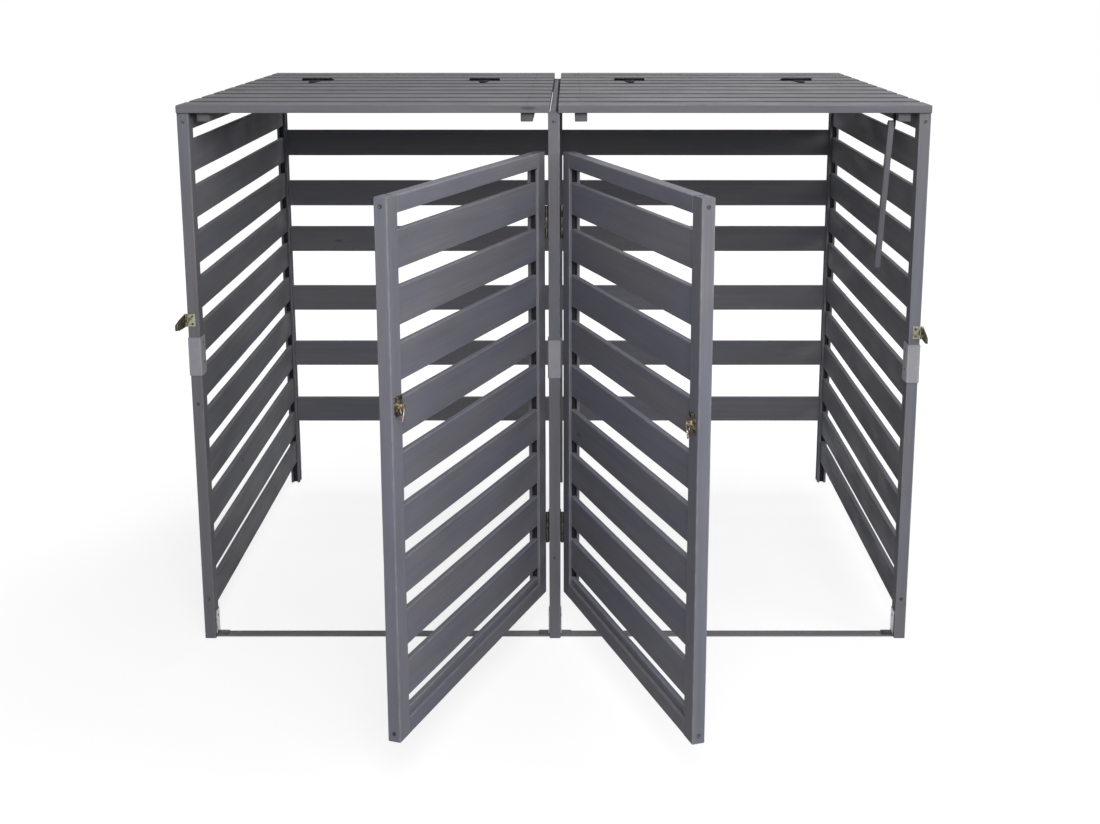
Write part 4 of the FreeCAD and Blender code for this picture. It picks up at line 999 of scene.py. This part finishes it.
cross_spots = level_spots("lid_hinge_leaves", CROSS_STEPS)
screws("cross_leaf_screws", cross_spots, PLATE_SCREW, "frame", "black_coat")
for side in SIDES:
    tongue_spots = level_spots(f"{side}_lid_straps", TONGUE_STEPS)
    screws(f"{side}_tongue_screws", tongue_spots, PLATE_SCREW, f"{side}_lid",
           "black_coat")
print("screws in the T hinges:", len(cross_spots) + 2 * len(tongue_spots))

# %% [markdown]
# ### The rolled edge of the T hinges
# In the photograph the bar of each T hinge is as thick at its ends as over its pin. It is read
# as the cross leaf's front edge rolled into a bead, which stiffens thin plate. A bead is a
# circle carried along a line, drawn in a little at both ends.

# %% Rolled edges of the cross leaves
ROLL_RADIUS = 3.9 * MM
ROLL_BACK = 1.4 * MM
ROLL_STOPS = np.array([0.0, 0.3, 0.9, 1.6]) * MM
ROLL_SHARE = np.array([0.72, 0.88, 0.97, 1.0])
BARREL_HALF = 15.4 * MM


def rolled_edge(start, end, y, z):
    """A bar along X with eased ends: a circle of radius R s, where s rises from 0.72 to 1."""
    along = np.concatenate([start + ROLL_STOPS, end - ROLL_STOPS[::-1]])[:, None]
    radius = ROLL_RADIUS * np.concatenate([ROLL_SHARE, ROLL_SHARE[::-1]])[:, None]
    rings = np.broadcast_arrays(along, y + radius * np.cos(AROUND), z + radius * np.sin(AROUND))
    return np.stack(rings, axis=-1).reshape(-1, 3)


pin_place = JOINTS["left_lid_hinge"]["pos_m"]
beads = []
for leaf in apart(points_of("lid_hinge_leaves"), X, HINGE_GAP):
    low, high = limits(leaf)
    middle = (low[X] + high[X]) / 2
    for start, end in ((low[X], middle - BARREL_HALF), (middle + BARREL_HALF, high[X])):
        beads.append(rolled_edge(start, end, pin_place[Y] + ROLL_BACK, pin_place[Z]))
bead_faces = [block + number * len(beads[0]) for number in range(len(beads))
              for block in ring_faces(2 * len(ROLL_STOPS), SPOKES)]
roll = mesh_object("lid_hinge_rolls", np.concatenate(beads), bead_faces, STEELS["black_coat"])
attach(roll, "frame")
print("rolled edges:", len(beads))

# %% Screws in the sleeves and the brackets
SLEEVE_FROM_TOP = 14 * MM
SLEEVE_FROM_FOOT = 27 * MM
BRACKET_FROM_TOP = 15 * MM
WALL = 2 * MM

sleeve_spots = []
for points in measured_sleeves:
    low, high = limits(points)
    y = (low[Y] + high[Y]) / 2
    for z in (high[Z] - SLEEVE_FROM_TOP, low[Z] + SLEEVE_FROM_FOOT):
        sleeve_spots += [((low[X], y, z), (-1, 0, 0)), ((high[X], y, z), (1, 0, 0))]
outermost = max(abs(place[X]) for place, facing in sleeve_spots)
inner_spots = [spot for spot in sleeve_spots if abs(spot[0][X]) < outermost - MM]
screws("sleeve_screws", inner_spots, PLATE_SCREW)

bracket_spots = []
brackets = points_of("threshold_brackets")
bar_middle = abs(middle_of(points_of("left_threshold_bar"))[X])
for leg in apart(brackets[brackets[:, Z] > brackets[:, Z].max() - WALL], X, HEAD_GAP):
    low, high = limits(leg)
    facing = math.copysign(1, math.copysign(bar_middle, low[X]) - low[X])
    face = high[X] if facing > 0 else low[X]
    bracket_spots.append(((face, (low[Y] + high[Y]) / 2, high[Z] - BRACKET_FROM_TOP),
                          (facing, 0, 0)))
screws("bracket_screws", bracket_spots, PLATE_SCREW)

# %% Screws in the hasps and the butt hinges
HASP_FROM_EDGE = 6 * MM
HASP_STEP = 8.2 * MM
LEAF_FROM_EDGE = 10 * MM
LEAF_STEP = 22 * MM

hasp_spots = []
for side, outward in OUTWARD.items():
    points = points_of(f"{side}_hasp_plate")
    out = np.abs(points[:, X])
    low, high = limits(points[out < out.min() + WALL])
    inner = low[X] if outward > 0 else high[X]
    x = inner + outward * HASP_FROM_EDGE
    hasp_spots += [((x, low[Y], (low[Z] + high[Z]) / 2 + step), OUT_FRONT)
                   for step in (-HASP_STEP, HASP_STEP)]
screws("hasp_plate_screws", hasp_spots, FLUSH_SCREW)


def leaf_spots(points, toward):
    """Three spots down the flat of each butt hinge leaf, on the face that looks its way."""
    spots = []
    for leaf in apart(points, Z, POST_GAP):
        back = leaf[:, Y].max()
        low, high = limits(leaf[leaf[:, Y] > back - WALL])
        face = high[X] if toward > 0 else low[X]
        spots += [((face, back - LEAF_FROM_EDGE, middle_of(leaf)[Z] + step), (toward, 0, 0))
                  for step in (-LEAF_STEP, 0, LEAF_STEP)]
    return spots


post_leaves = points_of("post_hinge_leaves")
post_spots = []
for side, outward in OUTWARD.items():
    post_spots += leaf_spots(post_leaves[post_leaves[:, X] * outward > 0], outward)
    door_leaves = swung(points_of(f"{side}_door_hinge_leaves"), side, -1)
    door_spots = swung_spots(leaf_spots(door_leaves, -outward), side)
    screws(f"{side}_door_leaf_screws", door_spots, LEAF_SCREW, f"{side}_door",
           "butt_hinge")
screws("post_leaf_screws", post_spots, LEAF_SCREW, "frame", "butt_hinge")
print("small screws:", len(inner_spots + bracket_spots + hasp_spots + post_spots + 2 * door_spots))

# %% [markdown]
# ## The studio
# The photograph is a cut-out on white. Its tones tell of the light: the left door's face is
# brighter than the right one's, every piece darkens toward the ground, and the slats under the
# roof are nearly black. So the lamps stand in front and to the right, above the roof, with only
# a little light from all round. One more stands high behind, for views of the back; lower down
# it would glare off the side slats. A pale floor takes the shadows. To the camera it glows up to
# white, which puts no extra light on the wood.

# %% Floor and surroundings
FLOOR_SIZE = 30.0
FLOOR_COLOUR = (0.30, 0.30, 0.31)
NEAR_GLOW = 0.8
FAR_GLOW = 0.96
GLOW_FROM, GLOW_TO = 0.8, 2.6
SURROUND = 0.24


def seen_directly(nodes):
    """1 where the camera looks straight, or by way of gloss or glass, and 0 for other light."""
    rays = nodes.add("LightPath").node.outputs
    seen = nodes.math("MAXIMUM", rays["Is Camera Ray"], rays["Is Glossy Ray"])
    return nodes.math("MAXIMUM", seen, rays["Is Transmission Ray"])


def pale_floor():
    """A wide floor that looks white where nothing shades it."""
    points = FLOOR_SIZE / 2 * np.array([(-1, -1, 0), (1, -1, 0), (1, 1, 0), (-1, 1, 0)])
    finish = Finish("pale_floor", Base_Color=FLOOR_COLOUR, Roughness=0.9,
                    Specular_IOR_Level=0.0)
    away = finish.add("VectorMath", {0: finish.place()}, output="Value", operation="LENGTH")
    strength = finish.between(away, GLOW_FROM, GLOW_TO, NEAR_GLOW, FAR_GLOW)
    glow = finish.add("Emission", {"Color": (1, 1, 1), "Strength": strength})
    dark = finish.add("Emission", {"Color": (0, 0, 0), "Strength": 0.0})
    shown = finish.add("MixShader", {0: seen_directly(finish), 1: dark, 2: glow})
    total = finish.add("AddShader", {0: finish.shader.outputs[0], 1: shown})
    finish.feed(finish.tree.nodes["Material Output"].inputs["Surface"], total)
    floor = mesh_object("floor", points, [np.array([[0, 1, 2, 3]])], finish.material)


def white_surroundings():
    """Soft light from all round, and plain white where the camera looks past the floor."""
    world = bpy.data.worlds.new("surroundings")
    bpy.context.scene.world = world
    world.use_nodes = True
    nodes = Nodes(world.node_tree)
    dim, white = (nodes.add("Background", {"Color": (1, 1, 1), "Strength": strength})
                  for strength in (SURROUND, 1.0))
    shown = nodes.add("MixShader", {0: seen_directly(nodes), 1: dim, 2: white})
    nodes.feed(nodes.tree.nodes["World Output"].inputs["Surface"], shown)


pale_floor()
white_surroundings()
print("floor", FLOOR_SIZE, "m wide")

# %% Lamps
# For each lamp: its place, its width and its power.
LAMPS = {
    "front": ((0.2, -3.4, 2.3), 1.4, 57),
    "high_front": ((0.1, -2.4, 2.9), 1.0, 15),
    "front_right": ((1.6, -3.2, 2.2), 1.2, 27),
    "right": ((3.2, -1.6, 2.2), 1.4, 27),
    "top": ((2.0, 0.4, 3.3), 1.6, 7),
    "high_back": ((0.9, 3.4, 3.8), 1.4, 48),
}
AIM = (0, 0, 0.6)

for name, (place, wide, power) in LAMPS.items():
    light = bpy.data.lights.new(name, "AREA")
    light.size = wide
    light.energy = power
    away = np.subtract(place, AIM)
    tilt = math.atan2(math.hypot(away[X], away[Y]), away[Z])
    holder = placed(name, light)
    holder.location = place
    holder.rotation_euler = (tilt, 0, math.atan2(away[Y], away[X]) + TURN / 4)
    holder.visible_camera = False
print("lamps:", ", ".join(LAMPS))

# %% [markdown]
# ## The camera
# The posts in the photograph stand parallel, so it was taken level and cropped, or straightened
# afterwards. The camera stands where the perspective puts it, a little right of the middle and
# above the roof. It looks down a few degrees, and a small shift keeps the posts nearly upright.
# A level camera would need a far larger shift, which spoils views from above.

# %% Camera
STAND = (0.0333, -3.2011, 1.4542)
LOOKS_DOWN = 12.43
LENS = 49.57
SHIFT = (-0.018, -0.09)

camera = placed("photo_view", bpy.data.cameras.new("photo_view"))
camera.data.sensor_width = 36.0
camera.data.lens = LENS
camera.data.shift_x, camera.data.shift_y = SHIFT
camera.location = STAND
camera.rotation_euler = (math.radians(90 - LOOKS_DOWN), 0, 0)
bpy.context.scene.camera = camera
bpy.context.scene.view_settings.view_transform = "Standard"
print("camera stands at", STAND)
